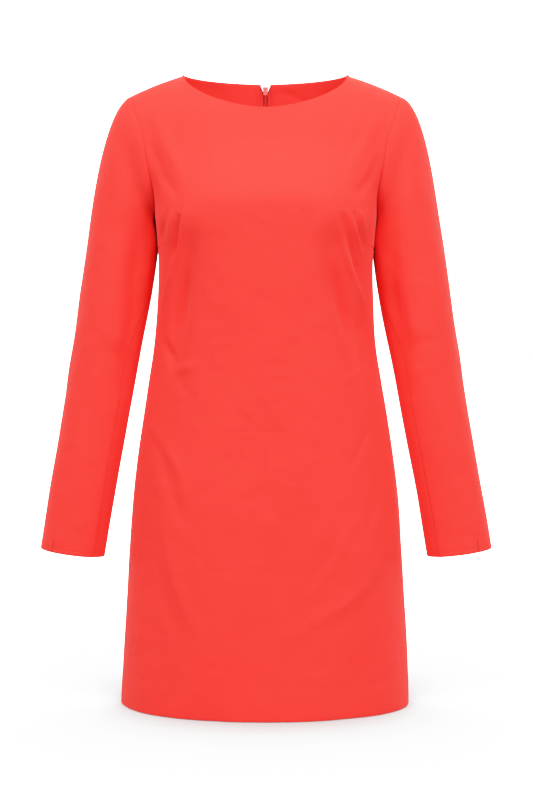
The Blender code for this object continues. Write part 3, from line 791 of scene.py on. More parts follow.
# Runs of the body's creases are given by place across and height, in millimetres.
FRONT_CREASES = (
    # Drags from the armholes over the chest.
    Crease(((-170, -52), (-141, -103), (-104, -160)), 9.5, 2.7, skew=-0.2),
    Crease(((-165, -94), (-146, -130), (-118, -166)), 8, -2.9, skew=0.2),
    Crease(((-151, -136), (-134, -152), (-118, -174)), 5.5, -1.6),
    Crease(((168, -58), (151, -86), (131, -116), (108, -152)), 9, 2.5),
    Crease(((163, -110), (144, -141), (120, -168)), 8, -2.7, skew=-0.2),
    Crease(((152, -142), (137, -152), (121, -168)), 5, -1.1),
    # The bust's rounding, which ends in a soft step.
    Crease(((-148, -196), (-108, -204), (-62, -202)), 20, 3),
    Crease(((62, -202), (108, -204), (148, -196)), 20, 3),
    # Hollows under the bust points, and the thin folds and pockets beside them.
    Crease(
        ((-100, -188), (-102, -232), (-111.5, -285), (-120.5, -342), (-127.5, -432)),
        15, -12.4, skew=-0.10, sharpness=1.35,
    ),
    Crease(
        ((-104, -181), (-109.5, -206), (-119.5, -245), (-132, -285), (-143, -325)),
        3.2, 3.8, spread=0.2, sharpness=0.4,
    ),
    Crease(((-114, -192), (-119, -218), (-127.5, -256)), 5.2, -6.6),
    Crease(((-120.5, -182), (-127, -208), (-133, -234)), 2.8, 3),
    Crease(((-130, -184), (-136.5, -208), (-142, -230)), 4, -2.6),
    Crease(
        ((89, -188), (91, -240), (102, -298), (115, -348), (127.5, -436)),
        15, -13, skew=0.10, sharpness=1.35,
    ),
    Crease(
        ((90.5, -182), (96.5, -206), (105.5, -236), (116, -270), (137, -320)),
        3.2, 3.8, spread=0.2, sharpness=0.4,
    ),
    Crease(((103, -190), (112, -222), (121.5, -254), (131.5, -292)), 5.2, -6.4),
    Crease(((108.5, -184), (117, -208), (125.5, -230), (133, -254)), 2.9, 3.4),
    Crease(((117, -188), (126.5, -216), (134, -242)), 4, -3.6),
    Crease(((122, -182), (130, -204), (135.5, -226)), 2.8, 2.6),
    # The waist's dimple and the hollows beside it.
    Crease(((-144, -342), (-134.5, -377), (-119, -398)), 6.2, -4.8, lean=0.3),
    Crease(((-127, -406), (-112, -400), (-90, -395)), 6.5, 2.4),
    Crease(((-138, -376), (-120, -414), (-94, -444)), 8.5, -1.1),
    Crease(((121, -312), (134.5, -363), (142, -410)), 13, -4, skew=-0.3),
    Crease(((140, -398), (118, -412), (94, -417)), 6, 1.1),
    # Small wrinkles over the stomach.
    Crease(((-22, -389), (4, -394), (31, -388)), 2.8, -0.45),
    Crease(((-10, -411), (16, -406), (40, -413)), 3, 0.4),
    Crease(((-28, -428), (-4, -433), (22, -429)), 2.6, -0.4),
    Crease(((8, -449), (30, -444), (56, -452)), 3, -0.38),
    Crease(((-36, -462), (-10, -458), (12, -463)), 2.8, 0.36),
    Crease(((58, -372), (71, -398), (76, -430)), 5, -0.6),
    # Soft falls over the hips and the skirt.
    Crease(((-165, -464), (-135, -515), (-106, -556)), 7.5, 1.4, skew=-0.2),
    Crease(((-152, -486), (-136, -535), (-114, -612)), 8.5, -2.1, skew=0.2),
    Crease(((-131, -502), (-119, -538), (-102, -590)), 6, 1.2),
    Crease(((-138, -615), (-123, -698), (-89, -766)), 9, 1.6, skew=-0.2),
    Crease(((-154, -632), (-140, -712), (-110, -784)), 12, -1.5),
    Crease(((178, -611), (154.5, -679), (116, -714.5), (67.5, -745.5), (26, -781)), 8.5, 1.5, skew=0.25),
    Crease(((163, -686), (125, -731), (77, -768)), 11, -1.1),
    Crease(((122, -598), (97, -655), (50, -720)), 8.5, 1.3),
    Crease(((104, -612), (80, -668), (40, -716)), 9.5, -0.9),
    Crease(((143, -480), (128.5, -511), (110, -541)), 8.5, -1.6),
    Crease(((162, -515), (149, -590), (128, -645)), 12, -1.4),
    Crease(((-73, -487), (-17, -484), (39, -487)), 2.6, -0.6),
    Crease(((-95, -674), (-56, -675), (-19, -673)), 2.6, -0.5),
    Crease(((3.4, -290), (3, -485), (3.6, -675), (3.4, -780)), 2, 0.5),
)
BACK_CREASES = (
    Crease(((18, -16), (38, -21), (64, -36)), 3.6, 2.2),
    # Drags from the armholes over the shoulder blades.
    Crease(((-162, -75), (-130, -112), (-86, -150)), 10, 2.2),
    Crease(((-152, -112), (-128, -140), (-100, -170)), 8, -2.4),
    Crease(((-150, -160), (-118, -186), (-78, -204)), 8.5, 1.8),
    Crease(((165, -68), (134, -104), (92, -136)), 9.5, 2),
    Crease(((154, -104), (131, -128), (106, -163)), 8.5, -2.6),
    Crease(((148, -150), (122, -178), (90, -214)), 7.5, 1.6),
    # Folds pooled over the small of the back.
    Crease(((-16, -282), (-70, -300), (-142, -338)), 8.5, 3.6, spread=0.3),
    Crease(((-30, -306), (-80, -324), (-138, -360)), 7.5, -3.8),
    Crease(((-24, -338), (-78, -350), (-142, -386)), 9, 3.4, skew=-0.2),
    Crease(((-50, -372), (-94, -382), (-144, -412)), 7, -2.6),
    Crease(((-34, -398), (-80, -404), (-120, -424)), 7.5, 1.8),
    Crease(((18, -296), (66, -308), (140, -346)), 8, 3.4, spread=0.3),
    Crease(((26, -322), (78, -338), (136, -368)), 8, -4),
    Crease(((44, -352), (92, -366), (144, -400)), 8.5, 3, skew=0.2),
    Crease(((28, -384), (84, -392), (130, -420)), 6.5, -2.2),
    # Falls over the seat and the skirt.
    Crease(((-110, -480), (-124, -610), (-141, -765)), 16, 4.2),
    Crease(((-72, -540), (-84, -680), (-94, -845)), 15, -3.4),
    Crease(((-34, -620), (-40, -740), (-46, -860)), 12, 2),
    Crease(((95, -510), (112, -650), (130, -790)), 17, 4),
    Crease(((60, -580), (66, -710), (76, -850)), 15, -3.2),
    Crease(((150, -600), (158, -710), (164, -820)), 13, -2.4),
    Crease(((-160, -470), (-130, -505), (-98, -528)), 7, 2),
    Crease(((158, -486), (128, -520), (92, -540)), 7.5, 2.1),
    Crease(((-90, -440), (-50, -450), (-12, -446)), 6, 1.1),
    Crease(((14, -466), (56, -472), (100, -462)), 6, -1.1),
)


@dataclass(frozen=True)
class Dart:
    """A bust dart, sewn from the side seam up towards the bust point."""

    side_height: float = -0.2415
    rise: float = 0.0085
    length: float = 0.080
    groove: float = 0.95 * MM
    groove_half_width: float = 1.1 * MM
    swell: float = 0.55 * MM
    swell_place: float = 4.0 * MM
    swell_half_width: float = 3.0 * MM
    tip_depth: float = 0.5 * MM
    tip_reach: float = 6 * MM
    tip_half_width: float = 5 * MM

    def push(self, from_side: Array, z: Array) -> Array:
        """Give the groove along the sewn line and the swell of the tucked cloth above and below it.

        Args:
            from_side: each point's distance from the side seam along the cloth.
            z: each point's height.

        Returns:
            The pushes, in metres.
        """
        share = np.clip(from_side / self.length, 0, 1)
        off = z - (self.side_height + self.rise * share)
        taper = np.sqrt(np.clip(1 - share, 0, 1)) * (from_side < self.length)
        groove = -self.groove * bell(off, self.groove_half_width) * taper
        swell = self.swell * bell(np.abs(off) - self.swell_place, self.swell_half_width) * taper
        tip = self.tip_depth * bell(from_side - self.length, self.tip_reach) * bell(off, self.tip_half_width)
        return groove + swell - tip


# ---- The body: front and back panels ----


def centre_first(sheet: Sheet, side: Side) -> Sheet:
    """Turn a back half between its own order and the left half's, with columns from the centre out."""
    return sheet.turned_round() if side is Side.LEFT else sheet.reflected()


@dataclass(frozen=True)
class Body:
    """The front, the two back halves and the seam allowances inside them."""

    form: TorsoForm
    cloth_thickness: float = 0.8 * MM
    neck_edge_thickness: float = 1.35 * MM
    neck_edge_width: float = 4.0 * MM
    hem_turn_up: float = 42 * MM
    hem_ridge: float = 0.30 * MM
    hem_ridge_slope: float = 1.2 * MM
    hem_fold_reach: float = 12 * MM
    front_neck_roll: float = 0.4 * MM
    back_neck_roll: float = 2.6 * MM
    neck_roll_reach: float = 4.5 * MM
    ripple_at_shoulder: float = 0.4
    seam_gap: float = 0.04 * MM
    seam_roll: float = 0.55 * MM
    seam_roll_width: float = 1.6 * MM
    seam_reach: float = 9 * MM
    # Painted shade along the seams: how much, and how far it reaches.
    seam_shade: float = 0.4
    seam_shade_width: float = 3 * MM
    centre_groove: float = 0.35 * MM
    centre_groove_width: float = 1.5 * MM
    centre_groove_start: tuple[float, float] = (0.010, 0.020)
    notch_depth: float = 0.019
    notch_end_height: float = -0.040
    allowance: float = 9.5 * MM
    allowance_gap: float = 0.10 * MM
    allowance_thickness: float = 0.7 * MM
    dart: Dart = field(default_factory=Dart)
    notch: Pairs = (
        (0.00, 0.0080), (0.10, 0.0070), (0.25, 0.0058), (0.45, 0.0044), (0.60, 0.0034),
        (0.67, 0.0013), (1.00, 0.00002),
    )

    def heights(self) -> Array:
        """Give the rows' heights below the underarm, close together at the dart.

        Returns:
            The heights, from the hem up.
        """
        start = self.form.hem_height + FOLD_RADIUS + self.cloth_thickness / 2
        low, high = self.dart.side_height - 5 * MM, self.dart.side_height + self.dart.rise + 5 * MM
        stretches = ((start, low, 181), (low, high, 18), (high, self.form.underarm_height, 10))
        return np.concatenate([np.linspace(*stretch)[:-1] for stretch in stretches])

    def smooth_half(self, face: Face) -> Array:
        """Give the smooth surface of a half panel: rows up, columns from the centre to the side.

        Args:
            face: the front or the back.

        Returns:
            The points, for the wearer's left.
        """
        across = self.form.columns(face)
        below = self.heights()
        share = (1 - np.cos(np.linspace(0, math.pi, self.form.armhole_rows + 1))) / 2
        tops = self.form.column_tops(face, across)
        underarm = self.form.underarm_height
        above = underarm + share[:, None] * (tops - underarm)
        z = np.vstack([np.repeat(below[:, None], len(across), axis=1), above])
        points = self.form.point(face, across, z)
        points[-1, self.neck_end :, 1] = 0
        points[: len(below) + 1, -1, 1] = 0
        return points

    @property
    def neck_end(self) -> int:
        """Give the column that ends the neck edge at the shoulder seam."""
        return self.form.neck_columns + 3

    @property
    def armhole_start(self) -> int:
        """Give the row at the underarm."""
        return len(self.heights())

    def halves(self) -> dict[Face, tuple[Array, Array]]:
        """Give both half panels' points and normals, with the normals shared along their seams.

        Returns:
            The points and normals of the front's half and the back's, for the wearer's left.
        """
        found = {}
        for face in Face:
            half = self.smooth_half(face)
            whole = np.concatenate([mirrored(half[:, :0:-1]), half], axis=1)
            found[face] = (half, -face.value * grid_normals(whole)[:, half.shape[1] - 1 :])
        front, back = found[Face.FRONT][1], found[Face.BACK][1]
        side = (slice(0, self.armhole_start + 1), -1)
        shoulder = (-1, slice(self.neck_end, None))
        for place in (side, shoulder):
            front[place] = back[place] = unit(front[place] + back[place])
        return found

    def edge_distances(self, half: Array) -> tuple[Array, Array]:
        """Measure how far each point lies from its side and shoulder seams, and from the neck edge.

        Args:
            half: a half panel's points.

        Returns:
            The distance to the nearest side, armhole or shoulder seam, and that to the neck edge.
        """
        across = along(half, 1)
        up = along(half, 0)
        to_side = across[:, -1:] - across
        to_top = up[-1] - up
        columns = np.arange(half.shape[1])
        to_shoulder = np.where(columns >= self.neck_end, to_top, np.inf)
        to_neck = np.where(columns <= self.neck_end, to_top, np.inf)
        return np.minimum(to_side, to_shoulder), to_neck

    def half_sheet(self, face: Face, side: Side, half: Array, normals: Array) -> Sheet:
        """Dress one half panel: its creases, seams, dart, hem and thickness.

        Args:
            face: the front or the back.
            side: the wearer's side.
            half: the smooth points, for the wearer's left.
            normals: their normals.

        Returns:
            The sheet, for the wearer's left; a right one still has to be mirrored.
        """
        across = along(half, 1)
        signed = side.value * across
        z = half[..., 2]
        to_seam, to_neck = self.edge_distances(half)
        creases = FRONT_CREASES if face is Face.FRONT else BACK_CREASES
        push = ripple_push(signed, z, 1.7 * face.value)
        freedom = smooth_step(self.form.shoulder_height, self.form.hip_height, z)
        push *= freedom * (1 - self.ripple_at_shoulder) + self.ripple_at_shoulder
        for crease in creases:
            knots = [(self.form.arc_at(face, x * MM, height * MM), height * MM) for x, height in crease.route]
            push += crease.push(np.array(knots), signed, z)
        push *= smooth_step(0.5 * MM, self.seam_reach, to_seam) * smooth_step(-2 * MM, 14 * MM, to_neck)
        if face is Face.FRONT:
            below_arm = smooth_step(self.form.underarm_height + 4 * MM, self.form.underarm_height, z)
            push += self.dart.push(across[:, -1:] - across, z) * below_arm
        roll = self.back_neck_roll if face is Face.BACK else self.front_neck_roll
        push += roll * np.exp(-to_neck / self.neck_roll_reach)
        push -= self.seam_roll * bell(to_seam, self.seam_roll_width) * shoulder_ease(z)
        from_hem = z - self.form.hem_height
        top, slope = self.hem_turn_up, self.hem_ridge_slope
        push += self.hem_ridge * smooth_step(top + slope, top - slope, from_hem)
        push -= self.hem_ridge * smooth_step(self.hem_fold_reach, 0, from_hem)
        thicker = (self.neck_edge_thickness - self.cloth_thickness) * bell(to_neck, self.neck_edge_width)
        # Painted shade along the side, armhole and shoulder seams, and along the centre back seam below the
        # zip.
        seam = self.seam_shade * bell(to_seam, self.seam_shade_width) * shoulder_ease(z)
        if face is Face.BACK:
            sewn = smooth_step(*self.centre_groove_start, half[-1, 0, 2] - z)
            centre = bell(across, self.centre_groove_width) * sewn
            push -= self.centre_groove * centre
            seam = np.maximum(seam, centre)
        cloth = np.stack([across, z], axis=-1)
        sheet = Sheet(half, normals, cloth, seam, self.cloth_thickness + thicker)
        return self.trimmed(sheet.pushed(push), face)

    def trimmed(self, sheet: Sheet, face: Face) -> Sheet:
        """Move a half sheet's edges back from its seams, and open the zip's notch.

        Args:
            sheet: the half sheet.
            face: the front or the back.

        Returns:
            The sheet with its seams open by their gap.
        """
        surface = sheet.surface.copy()
        back_off = face.value * self.seam_gap / 2
        surface[: self.armhole_start + 1, -1, 1] += back_off
        surface[-1, self.neck_end :, 1] += back_off
        if face is Face.BACK:
            share = (surface[-1, 0, 2] - surface[:, 0, 2]) / self.notch_depth
            opening = np.interp(share, *zip(*self.notch))
            room = surface[:, 6, 0]
            for k in range(6):
                left = surface[:, k, 0] / room
                surface[:, k, 0] = opening + (room - opening) * left
        return replace(sheet, surface=surface)

    def panels(self) -> dict[str, Sheet]:
        """Give the three panels as sheets.

        Returns:
            The sheets of the front, the left back and the right back, by name.
        """
        smooth = self.halves()
        sheets = {
            (face, side): self.half_sheet(face, side, *smooth[face]) for face in Face for side in Side
        }
        front_left = sheets[Face.FRONT, Side.LEFT]
        front_right = sheets[Face.FRONT, Side.RIGHT].mirror()
        return {
            "front": front_right.join(front_left.picked(columns=slice(1, None))),
            "back_left": centre_first(sheets[Face.BACK, Side.LEFT], Side.LEFT),
            "back_right": centre_first(sheets[Face.BACK, Side.RIGHT], Side.RIGHT),
        }


# ---- Sleeves ----


class Ring(NamedTuple):
    """A section of the left sleeve: its inner and outer points, and half of its depth."""

    inner_x: float
    inner_z: float
    outer_x: float
    outer_z: float
    half_depth: float


# Runs of the sleeves' creases are given by the turn round the arm, in degrees, and height, in
# millimetres. The turn is 0 at the inner side, 90 at the front, 180 outside and 270 at the back.
LEFT_SLEEVE_CREASES = (
    Crease(((64, -185), (56, -250), (47, -320), (39, -390), (33, -450)), 15, -9.6, sharpness=0.9),
    Crease(((31, -185), (30, -240), (26, -300)), 6, 1.9),
    Crease(((98, -150), (86, -235), (79, -320), (75, -430)), 12, 1.5),
    Crease(((100, -105), (72, -160), (52, -215)), 8, -1.3),
    Crease(((128, -90), (110, -150), (96, -210)), 10, 1.2),
    Crease(((40, -250), (66, -300), (78, -365)), 8, 1.2),
    Crease(((30, -285), (50, -330), (62, -385)), 8, -1.4),
    Crease(((35, -395), (72, -372), (118, -366)), 7, -0.9),
    Crease(((30, -372), (64, -352), (104, -342)), 7, 0.6),
    Crease(((44, -420), (80, -404), (112, -410)), 7, 0.8),
    Crease(((150, -330), (172, -372), (176, -420)), 9, 0.8),
    Crease(((92, -455), (84, -520), (88, -590)), 12, 0.8),
    Crease(((236, -290), (276, -332), (322, -345)), 8, 2.6),
    Crease(((228, -338), (270, -362), (320, -370)), 8, -2.6),
    Crease(((214, -372), (262, -394), (312, -392)), 8.5, 2.2),
    Crease(((262, -130), (285, -180), (305, -225)), 9, 2.2),
    Crease(((196, -110), (206, -190), (226, -262)), 11, -1.8),
    Crease(((188, -270), (204, -330), (232, -378)), 10, 1.8),
    Crease(((238, -430), (226, -510), (230, -590)), 12, 1.8),
)
RIGHT_SLEEVE_CREASES = (
    Crease(((67, -178), (59, -245), (51, -315), (43, -385), (36, -445)), 18.5, -12.4, sharpness=0.9),
    Crease(((30, -190), (30, -245), (25, -310)), 6, 2.1),
    Crease(((100, -140), (88, -225), (81, -310), (76, -420)), 12, 1.6),
    Crease(((104, -100), (80, -150), (54, -205)), 9, -1.3),
    Crease(((132, -85), (112, -140), (98, -205)), 9.5, 1.2),
    Crease(((36, -262), (60, -318), (70, -380)), 8, 1.1),
    Crease(((28, -300), (46, -345), (58, -400)), 7.5, -1.4),
    Crease(((32, -412), (70, -386), (110, -378)), 7, -1.1),
    Crease(((30, -388), (60, -364), (98, -356)), 7, 1.1),
    Crease(((146, -345), (168, -390), (174, -440)), 9, 0.9),
    Crease(((98, -470), (90, -530), (92, -600)), 12, 0.7),
    Crease(((234, -304), (278, -342), (322, -356)), 8, 2.5),
    Crease(((226, -350), (274, -372), (320, -382)), 8, -2.7),
    Crease(((220, -388), (260, -404), (308, -408)), 8, 2),
    Crease(((258, -120), (282, -172), (300, -220)), 9, 2.1),
    Crease(((198, -120), (210, -200), (222, -275)), 11, -1.9),
    Crease(((186, -285), (206, -345), (228, -390)), 10, 1.7),
    Crease(((242, -440), (232, -520), (238, -600)), 12, -1.8),
)


@dataclass(frozen=True)
class Sleeve:
    """One sleeve: a cap that leaves the armhole, then a tube through rings down to the slit cuff."""

    seam_gap: float = 0.2 * MM
    seam_twist: float = math.radians(46)
    twist_end: float = 0.45
    cap_direction: Triple = (0.90, 0.0, -0.43)
    underarm_direction: Triple = (-0.03, 0.0, -1.0)
    side_spread: Triple = (0.85, 0.0, 0.10)
    cap_leave: float = 0.19
    underarm_leave: float = 0.33
    cap_arrive: float = 0.33
    cap_rows: int = 36
    arm_rows: int = 120
    cuff_rows: int = 18
    cuff_zone: float = 0.022
    cuff_turn_up: float = 6.5 * MM
    allowance: float = 8 * MM
    allowance_ends: tuple[float, float] = (8 * MM, 12 * MM)
    head_allowance: float = 9 * MM
    cloth_thickness: float = 0.8 * MM
    mean_radius: float = 0.045
    fullness: float = 0.04
    slit_turn: float = math.radians(123)
    slit_length: float = 19 * MM
    slit_half_gap: float = 0.20 * MM
    # How far the painted shade along the cuff slit reaches.
    slit_shade_width: float = 1.2 * MM
    ripple_share: float = 0.8
    head_height: float = 0.7 * MM
    head_place: float = 4.5 * MM
    head_width: float = 3.5 * MM
    armhole_groove: float = 0.45 * MM
    armhole_groove_width: float = 1.5 * MM
    seam_groove: float = 0.3 * MM
    seam_groove_width: float = 1.4 * MM
    cuff_groove: float = 0.35 * MM
    cuff_groove_width: float = 0.8 * MM
    # Painted shade: along the seams and the armhole, and a band beside the armhole's lower part, fainter on
    # the left sleeve.
    seam_shade: float = 0.4
    seam_shade_width: float = 3 * MM
    seam_opening: float = 0.07 * MM
    underarm_shades: tuple[float, float] = (0.7, 1.0)
    underarm_shade_top: tuple[float, float] = (-0.050, -0.100)
    underarm_shade_end: tuple[float, float] = (-0.215, -0.170)
    underarm_shade_place: float = 19 * MM
    underarm_shade_width: float = 15 * MM
    rings: tuple[Ring, ...] = (
        Ring(0.1488, -0.232, 0.2462, -0.218, 0.052),
        Ring(0.1592, -0.308, 0.2575, -0.293, 0.050),
        Ring(0.1750, -0.388, 0.2690, -0.372, 0.0465),
        Ring(0.1905, -0.469, 0.2820, -0.452, 0.043),
        Ring(0.2060, -0.549, 0.2960, -0.532, 0.0395),
        Ring(0.2190, -0.619, 0.3090, -0.603, 0.0376),
        Ring(0.2280, -0.671, 0.3188, -0.659, 0.0350),
    )

    def twist(self, share: float) -> float:
        """Give how far the seam has turned forwards from the inner side, by the share down the arm."""
        return self.seam_twist * float(smooth_step(0.0, self.twist_end, np.array(share)))

    def ring_points(self, share: float, turn: Array) -> Array:
        """Give the left sleeve's points at a share of the way from underarm to cuff.

        Args:
            share: the share of the way.
            turn: turns from the seam forwards.

        Returns:
            The points.
        """
        places = np.arange(len(self.rings)) / (len(self.rings) - 1)
        ring = Ring(*[float(natural_spline(places, column)(share)) for column in zip(*self.rings)])
        inner = np.array((ring.inner_x, 0.0, ring.inner_z))
        outer = np.array((ring.outer_x, 0.0, ring.outer_z))
        forward = np.array((0.0, -ring.half_depth, 0.0))
        angle = (turn + self.twist(share))[:, None]
        bulge = np.where(np.sin(2 * angle) * np.sin(angle) > 0, np.sin(2 * angle) ** 2, 0.0)
        reach = np.sin(angle) + self.fullness * (1 - 0.7 * share) * bulge * np.sign(np.sin(angle))
        return (inner + outer) / 2 - np.cos(angle) * (outer - inner) / 2 + reach * forward

    def leaving(self, turn: Array) -> Array:
        """Give the left sleeve's direction at the armhole, by the turn from the underarm forwards.

        Args:
            turn: the turns.

        Returns:
            A unit direction for each.
        """
        over = (1 - np.cos(turn))[:, None] / 2 * np.array(self.cap_direction)
        under = (1 + np.cos(turn))[:, None] / 2 * np.array(self.underarm_direction)
        sideways = np.abs(np.sin(turn))
        spread = np.stack([sideways, -np.sin(turn), sideways], axis=-1) * np.array(self.side_spread)
        return unit(over + under + spread)

    def shares(self) -> Array:
        """Give the rows' shares of the way down the arm, close together at the cuff.

        Returns:
            The shares, from 0 at the underarm.
        """
        length = abs(self.rings[-1].outer_z - self.rings[0].outer_z)
        edge = 1 - (FOLD_RADIUS + self.cloth_thickness / 2) / length
        zone = 1 - self.cuff_zone / length
        arm, cuff = np.linspace(0, zone, self.arm_rows + 1), np.linspace(zone, edge, self.cuff_rows + 1)
        return np.concatenate([arm[1:], cuff[1:]])

    def smooth_grid(self, armhole: Array) -> tuple[Array, Array]:
        """Lay out the left sleeve's smooth surface.

        Args:
            armhole: the armhole seam's points, from the underarm forwards and round.

        Returns:
            The points, with rows from the cuff up and columns round from the seam, and each point's
            turn round the arm.
        """
        turn = np.linspace(0, 2 * math.pi, len(armhole))
        start = armhole + np.array((self.seam_gap, 0, 0))
        first = self.ring_points(0.0, turn)
        down = unit(self.ring_points(0.02, turn) - first)
        length = np.linalg.norm(first - start, axis=-1, keepdims=True)
        over = (1 - np.cos(turn))[:, None] / 2
        leave_share = self.underarm_leave + (self.cap_leave - self.underarm_leave) * over
        leave = start + self.leaving(turn) * length * leave_share
        arrive = first - down * length * self.cap_arrive
        rows, turns = [], []
        for t in np.linspace(0, 1, self.cap_rows + 1) ** 1.25:
            early = (1 - t) ** 3 * start + 3 * t * (1 - t) ** 2 * leave
            rows.append(early + 3 * t**2 * (1 - t) * arrive + t**3 * first)
            turns.append(turn)
        for share in self.shares():
            rows.append(self.ring_points(share, turn))
            turns.append(turn + self.twist(share))
        return np.array(rows[::-1]), np.array(turns[::-1])

    def sheet(self, side: Side, armhole: Array, armhole_normals: Array) -> Sheet:
        """Dress one sleeve as a sheet.

        Args:
            side: the wearer's side.
            armhole: the left armhole seam's points, from the underarm forwards and round.
            armhole_normals: the body's normals there.

        Returns:
            The sheet, in its place.
        """
        points, turns = self.smooth_grid(armhole)
        wrapped = np.concatenate([points[:, -2:-1], points, points[:, 1:2]], axis=1)
        normals = grid_normals(wrapped)[:, 1:-1]
        normals[:, 0] = normals[:, -1] = unit(normals[:, 0] + normals[:, -1])
        agreement = np.clip((armhole_normals * normals[-1]).sum(axis=-1, keepdims=True), 0, 1)
        normals[-1] = unit(normals[-1] + agreement * armhole_normals)
        up = along(points, 0)
        z = points[..., 2]
        around = turns * self.mean_radius
        push = ripple_push(around, z, 2.3 + side.value) * self.ripple_share
        for crease in LEFT_SLEEVE_CREASES if side is Side.LEFT else RIGHT_SLEEVE_CREASES:
            for lap in (0, 360):
                knots = [(math.radians(a + lap) * self.mean_radius, b * MM) for a, b in crease.route]
                push += crease.push(np.array(knots), around, z)
        across = along(points, 1)
        to_seam = np.minimum(across, across[:, -1:] - across)
        to_armhole = up[-1] - up
        push *= smooth_step(0.5 * MM, 12 * MM, to_armhole)
        over = (1 - np.cos(np.linspace(0, 2 * math.pi, points.shape[1]))) / 2
        head = self.head_height * bell(to_armhole - self.head_place, self.head_width) * over
        ease = shoulder_ease(z)
        push += (head - self.armhole_groove * bell(to_armhole, self.armhole_groove_width)) * ease
        push -= self.seam_groove * bell(to_seam, self.seam_groove_width)
        push -= self.cuff_groove * bell(up - self.cuff_turn_up + MM, self.cuff_groove_width)
        # Painted shade in the mask: along the seams and the armhole, in a band beside the armhole, and along
        # the cuff slit.
        seam = self.seam_shade * bell(np.minimum(to_seam, to_armhole), self.seam_shade_width) * ease
        beside = smooth_step(*self.underarm_shade_top, z) * smooth_step(*self.underarm_shade_end, z)
        beside *= self.underarm_shades[0 if side is Side.LEFT else 1]
        beside *= bell(to_armhole - self.underarm_shade_place, self.underarm_shade_width)
        slit = self.slit(Side.LEFT, points.shape[1])
        to_slit = across - across[:, slit.column : slit.column + 1]
        in_slit = smooth_step(slit.length + MM, slit.length - 3 * MM, up)
        in_slit *= bell(to_slit, self.slit_shade_width)
        seam = np.maximum(np.maximum(seam, beside), in_slit)
        thickness = np.full(seam.shape, self.cloth_thickness)
        sheet = Sheet(points, normals, np.stack([across, up], axis=-1), seam, thickness).pushed(push)
        surface = sheet.surface.copy()
        for end, inside in ((0, 1), (-1, -2)):
            surface[:, end] += unit(surface[:, inside] - surface[:, end]) * self.seam_opening
        sheet = replace(sheet, surface=surface)
        return sheet if side is Side.LEFT else sheet.mirror()

    def slit(self, side: Side, columns: int) -> Slit:
        """Give the cuff's slit, at its column of a sleeve's grid.

        Args:
            side: the wearer's side.
            columns: how many columns the grid has.

        Returns:
            The slit.
        """
        turn = (self.slit_turn - self.seam_twist) / (2 * math.pi)
        column = round(turn * (columns - 1))
        place = column if side is Side.LEFT else columns - 1 - column
        return Slit(place, self.slit_length, self.slit_half_gap)


# ---- Modelling by hand ----


def block(name: str, low: Sequence[float], high: Sequence[float]) -> Piece:
    """Add a cube stretched between two corners, with its place and size in its mesh.

    Args:
        name: its name.
        low: the corner at the least X, Y and Z.
        high: the opposite corner.

    Returns:
        The new piece.
    """
    bpy.ops.object.select_all(action="DESELECT")
    middle = [(a + b) / 2 for a, b in zip(low, high)]
    bpy.ops.mesh.primitive_cube_add(size=1, location=middle)
    piece = bpy.context.object
    piece.name = name
    piece.scale = [b - a for a, b in zip(low, high)]
    bpy.ops.object.transform_apply()
    return piece


def choose_faces(piece: Piece, test: Callable[[bpy.types.MeshPolygon], bool]) -> None:
    """Enter edit mode with only the faces that pass a test selected.

    Args:
        piece: the piece.
        test: what a face has to pass.
    """
    select_only(piece)
    bpy.ops.object.mode_set(mode="EDIT")
    bpy.ops.mesh.select_mode(type="FACE")
    bpy.ops.mesh.select_all(action="DESELECT")
    bpy.ops.object.mode_set(mode="OBJECT")
    for polygon in piece.data.polygons:
        polygon.select = test(polygon)
    bpy.ops.object.mode_set(mode="EDIT")


def leave_edit() -> None:
    """Go back to object mode."""
    bpy.ops.object.mode_set(mode="OBJECT")


def joined(name: str, pieces: Sequence[Piece]) -> Piece:
    """Join pieces into one, under a new name.

    Args:
        name: the new name.
        pieces: what is joined, to the first one.

    Returns:
        The one piece.
    """
    select_only(pieces[0])
    for piece in pieces:
        piece.select_set(True)
    if len(pieces) > 1:
        bpy.ops.object.join()
    pieces[0].name = name
    pieces[0].data.name = name
    return pieces[0]


def dressed(piece: Piece, material: Material, body: str, *nodes: str) -> Piece:
    """Finish a piece: its material, the body it rides on and the nodes it stands for.

    Args:
        piece: the piece.
        material: its finish.
        body: what it rides on.
        nodes: what it stands for.

    Returns:
        The same piece.
    """
    piece.data.materials.clear()
    piece.data.materials.append(material)
    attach(piece, body)
    if nodes:
        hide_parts(*nodes)
    log.info("%s: %d faces", piece.name, len(piece.data.polygons))
    return piece


def repeated(name: str, model: Piece, places: Sequence[Matrix]) -> Piece:
    """Copy a small model to many places as one mesh, and drop the model.

    Args:
        name: the new piece's name.
        model: what is repeated.
        places: where each copy goes.

    Returns:
        The new piece.
    """
    mesh = model.data
    points = np.array([v.co[:] for v in mesh.vertices])
    faces = [list(p.vertices) for p in mesh.polygons]
    turned = np.array([np.array(m)[:3, :3] for m in places])
    moved = np.array([np.array(m)[:3, 3] for m in places])
    everywhere = np.einsum("kij,nj->kni", turned, points) + moved[:, None, :]
    many = [[v + k * len(points) for v in face] for k in range(len(places)) for face in faces]
    bpy.data.objects.remove(model)
    return meshed(name, everywhere, many)


# ---- The zip ----


